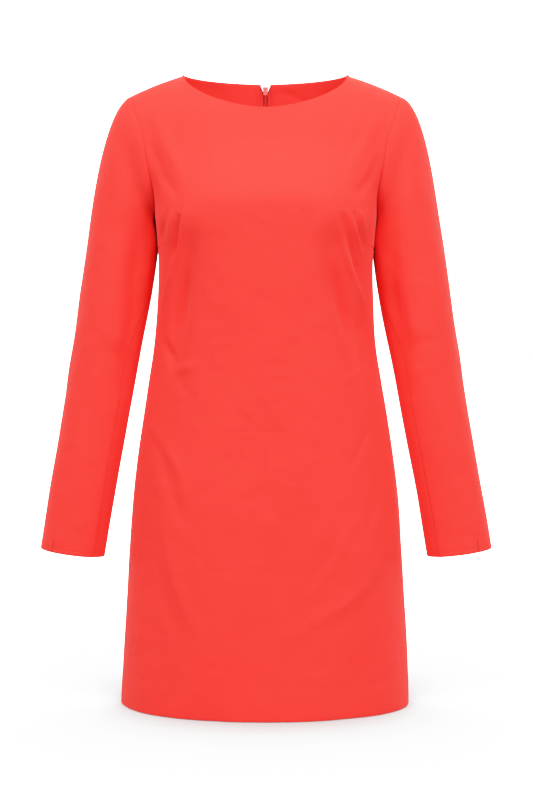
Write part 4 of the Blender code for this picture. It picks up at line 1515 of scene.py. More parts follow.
@dataclass(frozen=True)
class Zip:
    """The centre back zip: two tapes with their coils, a slider with its bail, and a pull tab."""

    form: TorsoForm
    top: float = -0.0095
    length: float = 0.50
    tape_width: float = 11 * MM
    tape_thickness: float = 0.5 * MM
    tape_columns: int = 25
    stitch_line: float = 7.6 * MM
    stitch_line_width: float = 0.6 * MM
    tape_end_drop: float = 0.6 * MM
    high_depth: float = 0.95 * MM
    low_depth: float = 1.75 * MM
    notch_depth: float = 0.019
    coil_pitch: float = 1.25 * MM
    coil_half_width: float = 1.45 * MM
    coil_half_depth: float = 0.55 * MM
    coil_offset: float = 0.73 * MM
    coil_drop: float = 1.2 * MM
    filament: float = 0.24 * MM
    coil_points: int = 10
    filament_sides: int = 5
    slider_drop: float = 6.5 * MM
    slider_half_height: float = 5.0 * MM
    slider_crown: float = 1.4 * MM
    slider_top_half_width: float = 3.9 * MM
    slider_low_half_width: float = 2.9 * MM
    slider_inside: float = -2.4 * MM
    slider_outside: float = 0.7 * MM
    plate: float = 0.7 * MM
    plate_rim: tuple[float, float] = (0.55 * MM, 0.14 * MM)
    post_half_width: float = 0.8 * MM
    slider_rounding: float = 0.28 * MM
    bail_reach: float = 2.3 * MM
    bail_half_span: float = 2.6 * MM
    bail_bar: float = 0.42 * MM
    pivot_out: float = 1.9 * MM
    pivot_up: float = -0.9 * MM
    pull_thickness: float = 0.9 * MM
    pull_lean: float = math.radians(3)
    pull_rim: tuple[float, float] = (0.75 * MM, 0.13 * MM)
    pull_rounding: float = 0.16 * MM
    eye_half_width: float = 1.0 * MM
    eye_rounding: float = 0.35 * MM
    eye: tuple[float, float] = (0.45 * MM, 4.6 * MM)
    pull_rows: Pairs = (
        (-0.45 * MM, 1.8 * MM), (0.45 * MM, 2.0 * MM), (4.6 * MM, 2.1 * MM),
        (6.0 * MM, 2.1 * MM), (13.0 * MM, 2.4 * MM), (20.0 * MM, 2.7 * MM),
        (21.5 * MM, 2.4 * MM), (22.3 * MM, 1.5 * MM),
    )
    tape_gap: Pairs = (
        (0.00, 6.4 * MM), (0.15, 4.9 * MM), (0.35, 3.5 * MM), (0.56, 2.2 * MM),
        (0.62, 0.30 * MM), (1.00, 0.03 * MM),
    )

    def place(self) -> Matrix:
        """Give the slider's place on the back's surface, turned to lie along it.

        Returns:
            The place, as a matrix.
        """
        heights = [self.top - self.slider_drop + step * self.slider_half_height for step in (1, 0, -1)]
        above, middle, below = [self.form.point(Face.BACK, 0.0, z) for z in heights]
        slope = math.atan2(below[1] - above[1], above[2] - below[2])
        return Matrix.Translation(Vector(middle)) @ Matrix.Rotation(slope, 4, "X")

    def tape_sheet(self, back: Sheet, side: Side) -> Sheet:
        """Lay a tape inside a back half, along the centre seam.

        Args:
            back: the back half's sheet.
            side: the wearer's side.

        Returns:
            The tape's sheet, with its outer face towards the cloth.
        """
        half = centre_first(back, side)
        rows = np.flatnonzero(half.surface[:, 0, 2] > self.top - self.length)
        share = (self.top - half.surface[rows, 0, 2]) / self.notch_depth
        edge = np.interp(share, *zip(*self.tape_gap))
        across = edge[:, None] + np.linspace(0, self.tape_width, self.tape_columns)
        depth = self.high_depth + (self.low_depth - self.high_depth) * smooth_step(0.95, 1.5, share)
        surface = np.empty(across.shape + (3,))
        normals = np.empty(across.shape + (3,))
        for j, row in enumerate(rows):
            x = half.surface[row, :, 0]
            surface[j] = read_line(across[j], x, half.surface[row])
            normals[j] = read_line(across[j], x, half.normals[row])
        surface[..., 0] = across
        normals[..., 0] *= 0.5
        normals = unit(normals)
        surface -= normals * depth[:, None, None]
        surface[-1, :, 2] -= self.tape_end_drop
        cloth = np.stack([across, surface[..., 2]], axis=-1)
        sewn = 0.7 * bell(across - self.stitch_line, self.stitch_line_width)
        # Painted shade: the tape is darkened along its stitch line, and from its edge to the coil's far side,
        # less far beside the notch.
        dark = (2.0 + 1.6 * smooth_step(0.58, 0.64, share))[:, None] * MM
        seam = np.maximum(sewn, 0.95 * smooth_step(0.4 * MM, -0.4 * MM, across - edge[:, None] - dark))
        thickness = np.full(across.shape, self.tape_thickness)
        return centre_first(Sheet(surface, normals, cloth, seam, thickness), side)

    def coil(self, tape: Sheet, side: Side) -> Piece:
        """Wind a coil along a tape's edge, on its inner face, from the slider down.

        Args:
            tape: the tape's sheet.
            side: the wearer's side.

        Returns:
            The new piece.
        """
        half = centre_first(tape, side)
        start = self.top - self.slider_drop - self.slider_half_height - self.coil_drop
        edge = half.surface[:, 0]
        inner = edge - half.normals[:, 0] * (self.tape_thickness + self.coil_half_depth + self.filament / 2)
        inner[:, 0] = edge[:, 0] + self.coil_offset
        z = np.arange(edge[0, 2] + 2 * MM, start, self.coil_pitch / self.coil_points)
        turn = 2 * math.pi * (z - z[0]) / self.coil_pitch + (math.pi if side is Side.LEFT else 0)
        centre = read_line(z, inner[:, 2], inner)
        depth_way = -unit(read_line(z, inner[:, 2], half.normals[:, 0]))
        line = centre + depth_way * (self.coil_half_depth * np.sin(turn))[:, None]
        line[:, 0] += self.coil_half_width * np.cos(turn)
        if side is Side.RIGHT:
            line = mirrored(line)
        ahead = unit(np.gradient(line, axis=0))
        side_way = unit(np.cross(ahead, np.array((0.0, 0.0, 1.0))))
        other = np.cross(ahead, side_way)
        angle = np.linspace(0, 2 * math.pi, self.filament_sides, endpoint=False)
        ring = side_way[:, None] * np.cos(angle)[:, None] + other[:, None] * np.sin(angle)[:, None]
        points = line[:, None] + ring * self.filament
        count, sides = points.shape[:2]
        corner = np.arange(count * sides).reshape(count, sides)
        after = np.roll(corner, -1, axis=1)
        quads = np.stack([corner[:-1], after[:-1], after[1:], corner[1:]], axis=-1).reshape(-1, 4)
        faces = quads.tolist() + [corner[0, ::-1].tolist(), corner[-1].tolist()]
        piece = meshed(f"zip_coil_{side.word}", points, faces)
        shape = bmesh.new()
        shape.from_mesh(piece.data)
        bmesh.ops.recalc_face_normals(shape, faces=shape.faces)
        shape.to_mesh(piece.data)
        shape.free()
        return piece

    def stitch_run(self, tape: Sheet, side: Side) -> tuple[Array, Array]:
        """Find where the machine stitches run that hold a tape to its allowance.

        Args:
            tape: the tape's sheet.
            side: the wearer's side.

        Returns:
            The run's points on the tape's inner face, and the way that face looks at each.
        """
        half = centre_first(tape, side)
        rows = range(half.surface.shape[0] - 1)

        def at_line(values: Array) -> Array:
            """Read the values where the stitches run."""
            return np.array([read_line(self.stitch_line, half.surface[j, :, 0], values[j]) for j in rows])

        inwards = -unit(at_line(half.normals))
        line = at_line(half.surface) + inwards * self.tape_thickness
        return (line, inwards) if side is Side.LEFT else (mirrored(line), mirrored(inwards))

    def slider(self) -> Piece:
        """Model the slider: two tapered plates joined by a post, and a bail on the outer one.

        Returns:
            The slider, upright at the origin.
        """
        half, narrow = self.slider_top_half_width, self.slider_low_half_width / self.slider_top_half_width
        height = self.slider_half_height
        parts = []
        for name, low, high in (
            ("outer_plate", self.slider_outside - self.plate, self.slider_outside),
            ("inner_plate", self.slider_inside, self.slider_inside + self.plate),
        ):
            plate = block(name, (-half, low, -height), (half, high, height + self.slider_crown))
            choose_faces(plate, lambda f: f.normal.z < -0.9)
            bpy.ops.transform.resize(value=(narrow, 1, 1), center_override=(0, low, -height))
            leave_edit()
            outwards = 1 if high > 0 else -1
            choose_faces(plate, lambda f, way=outwards: f.normal.y * way > 0.9)
            bpy.ops.mesh.inset(thickness=self.plate_rim[0], depth=self.plate_rim[1])
            leave_edit()
            parts.append(plate)
        post = block(
            "post",
            (-self.post_half_width, self.slider_inside + 0.3 * MM, 0.2 * height),
            (self.post_half_width, self.slider_outside - 0.3 * MM, 0.92 * height),
        )
        choose_faces(post, lambda f: f.normal.z < -0.9)
        bpy.ops.transform.resize(value=(0.4, 1, 1), center_override=(0, 0, 0.2 * height))
        leave_edit()
        parts.append(post)
        slider = joined("zip_slider_looks", parts)
        soften_edges(slider, self.slider_rounding, segments=3, angle=30)
        return joined("zip_slider_looks", [slider, self.bail()])

    def bail(self) -> Piece:
        """Spin the bail: a round bar that arches out of the slider's outer plate.

        Returns:
            The bail, beside the slider at the origin.
        """
        bpy.ops.object.select_all(action="DESELECT")
        foot = self.slider_outside - 0.25 * MM
        start = (0, foot, self.bail_half_span)
        bpy.ops.mesh.primitive_circle_add(vertices=12, radius=self.bail_bar, fill_type="NGON", location=start)
        bail = bpy.context.object
        bail.rotation_euler.x = math.radians(90)
        bpy.ops.object.transform_apply()
        bpy.ops.object.mode_set(mode="EDIT")
        bpy.ops.mesh.select_all(action="SELECT")
        bpy.ops.mesh.spin(steps=20, angle=math.pi, center=(0, foot, 0), axis=(1, 0, 0))
        bpy.ops.mesh.select_all(action="SELECT")
        bpy.ops.mesh.normals_make_consistent(inside=False)
        leave_edit()
        reach = self.bail_reach / self.bail_half_span
        at_foot = Matrix.Translation((0, foot, 0))
        bail.data.transform(at_foot @ Matrix.Scale(reach, 4, (0, 1, 0)) @ at_foot.inverted())
        bail.data.shade_smooth()
        return bail

    def pull(self) -> Piece:
        """Model the pull tab: drawn down row by row, with an eye at its top and a sunk panel.

        Returns:
            The pull tab, in its place.
        """
        half = self.pull_thickness / 2
        first, second = self.pull_rows[:2]
        pull = block("zip_pull_looks", (-first[1], -half, -second[0]), (first[1], half, -first[0]))
        choose_faces(pull, lambda f: f.normal.z < -0.9)
        bpy.ops.transform.resize(value=(second[1] / first[1], 1, 1), center_override=(0, 0, -second[0]))
        for above, below in zip(self.pull_rows[1:], self.pull_rows[2:]):
            bpy.ops.mesh.extrude_region_move(TRANSFORM_OT_translate={"value": (0, 0, above[0] - below[0])})
            bpy.ops.transform.resize(value=(below[1] / above[1], 1, 1), center_override=(0, 0, -below[0]))
        leave_edit()
        low, high = self.pull_rows[4][0], self.pull_rows[5][0]
        choose_faces(pull, lambda f: abs(f.normal.y) > 0.9 and -high < f.center.z < -low)
        bpy.ops.mesh.inset(thickness=self.pull_rim[0], depth=-self.pull_rim[1], use_individual=True)
        leave_edit()
        cutter = block(
            "eye",
            (-self.eye_half_width, -2 * half, -self.eye[1]),
            (self.eye_half_width, 2 * half, -self.eye[0]),
        )
        soften_edges(cutter, self.eye_rounding, segments=3, angle=30)
        select_only(pull)
        cut = pull.modifiers.new("eye", "BOOLEAN")
        cut.operation = "DIFFERENCE"
        cut.object = cutter
        bpy.ops.object.modifier_apply(modifier=cut.name)
        bpy.data.objects.remove(cutter)
        soften_edges(pull, self.pull_rounding, segments=2, angle=28)
        pivot = Matrix.Translation((0, self.pivot_out, self.pivot_up))
        pull.data.transform(self.place() @ pivot @ Matrix.Rotation(-self.pull_lean, 4, "X"))
        return pull


# ---- Sewing that shows ----


@dataclass(frozen=True)
class Thread:
    """Machine and hand stitches, each a small spindle of thread that dips in at its ends."""

    stitch: float = 2.2 * MM
    radius: float = 0.16 * MM
    sides: int = 5

    def model(self) -> Piece:
        """Model one stitch along X, with its ends drawn in.

        Returns:
            The stitch, at the origin.
        """
        bpy.ops.object.select_all(action="DESELECT")
        bpy.ops.mesh.primitive_cylinder_add(vertices=self.sides, radius=self.radius, depth=self.stitch)
        stitch = bpy.context.object
        stitch.rotation_euler.y = math.radians(90)
        bpy.ops.object.transform_apply()
        end = self.stitch / 2
        choose_faces(stitch, lambda f: abs(f.normal.x) > 0.9)
        bpy.ops.mesh.inset(thickness=0.35 * self.radius, depth=0.18 * self.stitch)
        leave_edit()
        for vertex in stitch.data.vertices:
            if abs(vertex.co.x) > end * 1.05:
                vertex.co.z -= 1.5 * self.radius
        stitch.data.transform(Matrix.Scale(0.72, 4, (1, 0, 0)))
        return stitch

    def row(self, line: Array, normals: Array, gap: float = 0.5 * MM) -> list[Matrix]:
        """Place stitches end to end along a line on the cloth.

        Args:
            line: points of the line.
            normals: the way the cloth looks at each.
            gap: the space between two stitches.

        Returns:
            A place for each stitch.
        """
        places = run_lengths(line)
        at = np.arange(self.stitch / 2, places[-1], self.stitch + gap)
        points = read_line(at, places, line)
        ahead = unit(read_line(at + MM, places, line) - points)
        up = unit(read_line(at, places, normals))
        found = []
        for point, way, away in zip(points, ahead, up):
            if np.linalg.norm(way) < 0.5:
                continue
            across = unit(np.cross(away, way))
            lift = np.cross(way, across)
            found.append(Matrix([*zip(way, across, lift, point), (0, 0, 0, 1)]))
        return found


# ---- Finishes ----


class Nodes:
    """A node tree being built: adds nodes by type and links or sets their inputs."""

    def __init__(self, tree: Tree) -> None:
        """Start from an empty tree."""
        self.tree = tree
        tree.nodes.clear()

    def add(self, kind: str, inputs: Inputs | None = None, **settings: object) -> bpy.types.Node:
        """Add a node.

        Args:
            kind: the node's type, without the words that all shader nodes' types start with.
            inputs: what feeds its inputs, by their name or number: sockets or values.
            settings: its properties.

        Returns:
            The new node.
        """
        node = self.tree.nodes.new(f"ShaderNode{kind}")
        for name, value in settings.items():
            setattr(node, name, value)
        for key, value in (inputs or {}).items():
            self.feed(node.inputs[key], value)
        return node

    def feed(self, socket: Socket, value: object) -> None:
        """Link a socket to an input, or set the input's own value.

        Args:
            socket: the input.
            value: a socket to link, or the value to set.
        """
        if isinstance(value, Socket):
            self.tree.links.new(value, socket)
        else:
            socket.default_value = value

    def math(self, operation: str, *inputs: object) -> Socket:
        """Add a Math node fed by sockets or numbers, and give its output."""
        return self.add("Math", dict(enumerate(inputs)), operation=operation).outputs[0]

    def noise(self, vector: Socket, scale: float, **inputs: float) -> Socket:
        """Add a noise over a vector, and give its strength."""
        return self.add("TexNoise", {"Vector": vector, "Scale": scale, **inputs}).outputs["Fac"]

    def surface(self, shader: bpy.types.Node) -> None:
        """End a material with its shader."""
        self.add("OutputMaterial", {"Surface": shader.outputs[0]})


class Group(Nodes):
    """A node group being built, with its named inputs and the numbers that it gives."""

    def __init__(self, name: str, inputs: dict[str, str], outputs: Sequence[str]) -> None:
        """Start the group with its sockets.

        Args:
            name: its name.
            inputs: its inputs' names and kinds.
            outputs: its outputs' names.
        """
        super().__init__(bpy.data.node_groups.new(name, "ShaderNodeTree"))
        for socket, kind in inputs.items():
            self.tree.interface.new_socket(socket, in_out="INPUT", socket_type=f"NodeSocket{kind}")
        for socket in outputs:
            self.tree.interface.new_socket(socket, in_out="OUTPUT", socket_type="NodeSocketFloat")
        self.start = self.tree.nodes.new("NodeGroupInput").outputs
        self.end = self.tree.nodes.new("NodeGroupOutput").inputs


def new_material(name: str) -> tuple[Material, Nodes]:
    """Make an empty material, and give it with its nodes."""
    material = bpy.data.materials.new(name)
    material.use_nodes = True
    return material, Nodes(material.node_tree)


def weave_group() -> Tree:
    """Make the plain weave: threads that pass over and under one another along the cloth.

    Returns:
        The group, with the threads' height and the gap between them.
    """
    group = Group("plain weave", {"Cloth": "Vector", "Threads per metre": "Float"}, ("Height", "Gap"))
    parts = group.add("SeparateXYZ", {0: group.start["Cloth"]})
    waves = []
    for part in parts.outputs[:2]:
        turns = group.math("MULTIPLY", part, group.start["Threads per metre"])
        waves.append(group.math("SINE", group.math("MULTIPLY", turns, math.pi)))
    over = group.math("MULTIPLY", *waves)
    group.feed(group.end["Height"], group.math("MULTIPLY_ADD", over, 0.5, 0.5))
    crown = group.math("MAXIMUM", *[group.math("ABSOLUTE", wave) for wave in waves])
    group.feed(group.end["Gap"], group.math("SUBTRACT", 1.0, crown))
    return group.tree


def slub_group() -> Tree:
    """Make the yarn's unevenness: faint thicker threads both ways, and a slow drift of tone.

    Returns:
        The group, with the threads' unevenness and the drift.
    """
    group = Group("uneven yarn", {"Cloth": "Vector", "Place": "Vector"}, ("Threads", "Drift"))
    ways = []
    for stretch in ((2200.0, 60.0, 1.0), (60.0, 2200.0, 1.0)):
        mapping = group.add("Mapping", {"Vector": group.start["Cloth"], "Scale": stretch})
        ways.append(group.noise(mapping.outputs[0], 1.0, Detail=2.0))
    group.feed(group.end["Threads"], group.math("MULTIPLY", group.math("ADD", *ways), 0.5))
    group.feed(group.end["Drift"], group.noise(group.start["Place"], 9.0, Detail=3.0))
    return group.tree


@dataclass(frozen=True)
class WovenFinish:
    """Woven cloth, dyed in one colour, with its threads, its slow change of tone and painted shade along its
    seams.
    """

    name: str
    colour: Triple
    shade: Triple
    painted_shade_tone: float = 0.71
    roughness: float = 0.72
    sheen: float = 0.24
    sheen_tint: tuple[float, float, float, float] = (1.0, 0.45, 0.42, 1.0)
    threads: float = 2300.0
    relief: float = 0.05 * MM
    handle: float = 2.2 * MM
    handle_scale: float = 28.0

    def material(self, weave: Tree, yarn: Tree) -> Material:
        """Build the material.

        Args:
            weave: the plain weave's group.
            yarn: the uneven yarn's group.

        Returns:
            The material.
        """
        material, nodes = new_material(self.name)
        cloth = nodes.add("UVMap", uv_map="cloth").outputs[0]
        place = nodes.add("TexCoord").outputs["Object"]
        laid = {"Cloth": cloth, "Threads per metre": self.threads}
        threads = nodes.add("Group", laid, node_tree=weave).outputs
        uneven = nodes.add("Group", {"Cloth": cloth, "Place": place}, node_tree=yarn).outputs
        # The gaps between threads take more of the darker tone, a painted shade; the drift and the uneven
        # threads are random tone.
        share = nodes.math("MULTIPLY_ADD", uneven["Drift"], 0.5, 0.12)
        share = nodes.math("MULTIPLY_ADD", threads["Gap"], 0.22, share)
        share = nodes.math("MULTIPLY_ADD", uneven["Threads"], 0.20, share)
        dyed = {"Factor": share, "A": (*self.colour, 1.0), "B": (*self.shade, 1.0)}
        tone = nodes.add("Mix", dyed, data_type="RGBA").outputs["Result"]
        # Painted shade: the seam mask darkens the colour towards the painted shade tone along seams, cuff
        # slits, bands beside the underarms and the zip tapes' edges.
        seam = nodes.add("Attribute", attribute_name="seam", attribute_type="GEOMETRY").outputs["Fac"]
        painted_shade_inputs = {"Factor": seam, "A": tone, "B": (*[self.painted_shade_tone] * 3, 1.0)}
        colour = nodes.add("Mix", painted_shade_inputs, data_type="RGBA", blend_type="MULTIPLY").outputs["Result"]
        handled = nodes.noise(place, self.handle_scale, Detail=1.3, Distortion=0.5)
        soft = nodes.add("Bump", {"Distance": self.handle, "Height": handled})
        height = nodes.math("MULTIPLY_ADD", uneven["Threads"], 0.7, threads["Height"])
        relief = {"Strength": 0.6, "Distance": self.relief, "Normal": soft.outputs[0], "Height": height}
        looks = {
            "Base Color": colour,
            "Roughness": nodes.math("MULTIPLY_ADD", threads["Gap"], 0.15, self.roughness),
            "Normal": nodes.add("Bump", relief).outputs[0],
            "Specular IOR Level": 0.22,
            "Sheen Weight": self.sheen,
            "Sheen Roughness": 0.5,
            "Sheen Tint": self.sheen_tint,
        }
        nodes.surface(nodes.add("BsdfPrincipled", looks))
        return material


@dataclass(frozen=True)
class SmoothFinish:
    """Painted metal or a moulded filament: an even colour, finely orange-peeled and slightly worn."""

    name: str
    colour: Triple
    worn: Triple
    roughness: float = 0.35
    coat: float = 0.3
    peel_scale: float = 1600.0
    wear_scale: float = 420.0

    def material(self) -> Material:
        """Build the material.

        Returns:
            The material.
        """
        material, nodes = new_material(self.name)
        place = nodes.add("TexCoord").outputs["Object"]
        wear = nodes.noise(place, self.wear_scale, Detail=4.0)
        share = nodes.math("MULTIPLY", wear, 0.5)
        tones = {"Factor": share, "A": (*self.colour, 1.0), "B": (*self.worn, 1.0)}
        peel = {"Strength": 0.3, "Distance": 0.02 * MM, "Height": nodes.noise(place, self.peel_scale)}
        looks = {
            "Base Color": nodes.add("Mix", tones, data_type="RGBA").outputs["Result"],
            "Roughness": nodes.math("MULTIPLY_ADD", wear, 0.2, self.roughness - 0.1),
            "Normal": nodes.add("Bump", peel).outputs[0],
            "Coat Weight": self.coat,
        }
        nodes.surface(nodes.add("BsdfPrincipled", looks))
        return material


DRESS_CLOTH = WovenFinish("coral cloth", colour=(0.955, 0.058, 0.044), shade=(0.905, 0.043, 0.032))
# The tape's painted shade tone is dark, for the shade beside its coil and the slider.
ZIP_TAPE = WovenFinish(
    "zip tape", (0.86, 0.055, 0.045), (0.74, 0.036, 0.030), painted_shade_tone=0.28, threads=1700.0, sheen=0.05
)
SLIDER_PAINT = SmoothFinish("slider paint", colour=(0.86, 0.105, 0.098), worn=(0.80, 0.085, 0.078))
COIL_NYLON = SmoothFinish(
    "zip coil", colour=(0.78, 0.045, 0.038), worn=(0.70, 0.035, 0.030), roughness=0.45, coat=0.1
)
SEWING_THREAD = SmoothFinish(
    "sewing thread", colour=(0.90, 0.050, 0.040), worn=(0.80, 0.040, 0.030), roughness=0.6, coat=0.0
)


# ---- The set ----


class Lamp(NamedTuple):
    """A soft square light: its place, what it looks at, its width and its power."""

    place: Triple
    aim: Triple
    size: float
    power: float


@dataclass(frozen=True)
class Studio:
    """A white floor, soft lights, a world that shows white to the camera, and the camera."""

    floor_height: float = -0.8798
    camera_place: Triple = (0.0014, -2.65, -0.2403)
    camera_dip: float = math.radians(4.53)
    lens: float = 1893 / 800 * 36
    sensor: float = 36.0
    back_white: float = 2.0
    floor_white: float = 0.31
    # The floor's camera-only glow, dimmed near the hem's outline: a painted shadow round the dress.
    floor_glow: tuple[float, float] = (0.12, 1.95)
    hem_half_sizes: tuple[float, float] = (0.192, 0.124)
    hem_shade_reach: tuple[float, float] = (-0.03, 0.27)
    hem_shade_narrowing: float = 2.9
    fill_light: float = 0.17
    film: Pairs = (
        (0.0, 0.0), (0.05, 0.05), (0.12, 0.125), (0.30, 0.43), (0.50, 0.70), (0.75, 0.89),
        (1.00, 0.955), (1.40, 0.985), (2.00, 1.0),
    )
    lamps: tuple[Lamp, ...] = (
        Lamp((-0.75, -1.40, 2.15), (0.0, 0.0, -0.24), 1.1, 47.3),
        Lamp((0.75, -1.40, 2.15), (0.0, 0.0, -0.24), 1.1, 47.3),
        Lamp((-1.90, -2.20, -0.25), (0.0, 0.0, -0.60), 1.3, 20.3),
        Lamp((1.90, -2.20, -0.25), (0.0, 0.0, -0.60), 1.3, 25.2),
        Lamp((0.0, -0.02, -0.13), (0.0, 0.06, -0.02), 0.10, 0.09),
        Lamp((-2.3, 1.5, -0.1), (0.0, 0.0, -0.45), 1.6, 21.0),
        Lamp((2.3, 1.5, -0.1), (0.0, 0.0, -0.45), 1.6, 26.0),
        Lamp((0.25, 1.75, 2.45), (0.0, 0.0, -0.30), 1.0, 31.0),
    )

    def build(self) -> None:
        """Build the floor, the lights and the camera."""
        self.floor()
        for number, lamp in enumerate(self.lamps):
            light = bpy.data.lights.new(f"softbox_{number}", "AREA")
            light.size = lamp.size
            light.energy = lamp.power
            holder = placed(light.name, light)
            holder.location = lamp.place
            holder.visible_camera = False
            away = Vector(lamp.place) - Vector(lamp.aim)
            holder.rotation_euler = away.to_track_quat("Z", "Y").to_euler()
        self.world()
        camera = bpy.data.cameras.new("camera")
        camera.sensor_fit = "AUTO"
        camera.sensor_width = self.sensor
        camera.lens = self.lens
        camera.clip_end = 60.0
        holder = placed("camera", camera)
        holder.location = self.camera_place
        holder.rotation_euler = (math.pi / 2 - self.camera_dip, 0.0, 0.0)
        bpy.context.scene.camera = holder
        self.develop()

    def develop(self) -> None:
        """Give the picture a film's response, which eases into white instead of clipping."""
        view = bpy.context.scene.view_settings
        view.view_transform = "Standard"
        view.use_curve_mapping = True
        mapping = view.curve_mapping
        mapping.clip_max_x = self.film[-1][0]
        curve = mapping.curves[3]
        for point, (light, tone) in zip(curve.points, (self.film[0], self.film[-1])):
            point.location = (light, tone)
        for light, tone in self.film[1:-1]:
            curve.points.new(light, tone)
        mapping.update()

    def floor(self) -> None:
        """Lay the floor, wide enough to pass for endless, with a painted shadow round the hem, where its
        camera-only glow is dimmed.
        """
        bpy.ops.object.select_all(action="DESELECT")
        bpy.ops.mesh.primitive_plane_add(size=24, location=(0, 0, self.floor_height))
        floor = bpy.context.object
        floor.name = "floor"
        bpy.ops.object.transform_apply()
        material, nodes = new_material("white floor")
        matt = nodes.add("BsdfDiffuse", {"Color": (*[self.floor_white] * 3, 1.0)})
        # Painted shadow: the glow seen by the camera grows from dim at the hem to white further out.
        ends = (self.hem_distance(nodes), *self.hem_shade_reach, *self.floor_glow)
        far = nodes.add("MapRange", dict(enumerate(ends)), interpolation_type="SMOOTHSTEP")
        seen = nodes.add("LightPath").outputs["Is Camera Ray"]
        glow = nodes.add("Emission", {"Strength": nodes.math("MULTIPLY", seen, far.outputs[0])})
        nodes.surface(nodes.add("AddShader", {0: matt.outputs[0], 1: glow.outputs[0]}))
        floor.data.materials.append(material)

    def hem_distance(self, nodes: Nodes) -> Socket:
        """Work out how far a place on the floor is outside the hem's outline.

        Args:
            nodes: the floor material's nodes.

        Returns:
            The distance, counted longer to the sides than to the front, where the painted shadow is narrower.
        """
        width, depth = self.hem_half_sizes
        place = nodes.add("TexCoord").outputs["Object"]
        scale = (1 / width, 1 / depth, 0.0)
        share = nodes.add("VectorMath", {0: place, 1: scale}, operation="MULTIPLY").outputs[0]
        squared = nodes.add("VectorMath", {0: share, 1: share}, operation="DOT_PRODUCT").outputs["Value"]
        steeper = (2 / (width * self.hem_shade_narrowing), 2 / depth, 0.0)
        slope = nodes.add("VectorMath", {0: share, 1: steeper}, operation="MULTIPLY").outputs[0]
        steepness = nodes.add("VectorMath", {0: slope}, operation="LENGTH").outputs["Value"]
        outside = nodes.math("SUBTRACT", squared, 1.0)
        return nodes.math("DIVIDE", outside, nodes.math("MAXIMUM", steepness, 0.01))

    def world(self) -> None:
        """Light the scene from all round, in plain white where the camera looks past the floor."""
        world = bpy.data.worlds.new("studio")
        world.use_nodes = True
        nodes = Nodes(world.node_tree)
        white = (1.0, 1.0, 1.0, 1.0)
        light, seen = [
            nodes.add("Background", {"Color": white, "Strength": strength}).outputs[0]
            for strength in (self.fill_light, self.back_white)
        ]
        straight = nodes.add("LightPath").outputs["Is Camera Ray"]
        mix = nodes.add("MixShader", {0: straight, 1: light, 2: seen})
        nodes.add("OutputWorld", {"Surface": mix.outputs[0]})
        bpy.context.scene.world = world


# ---- Putting it together ----


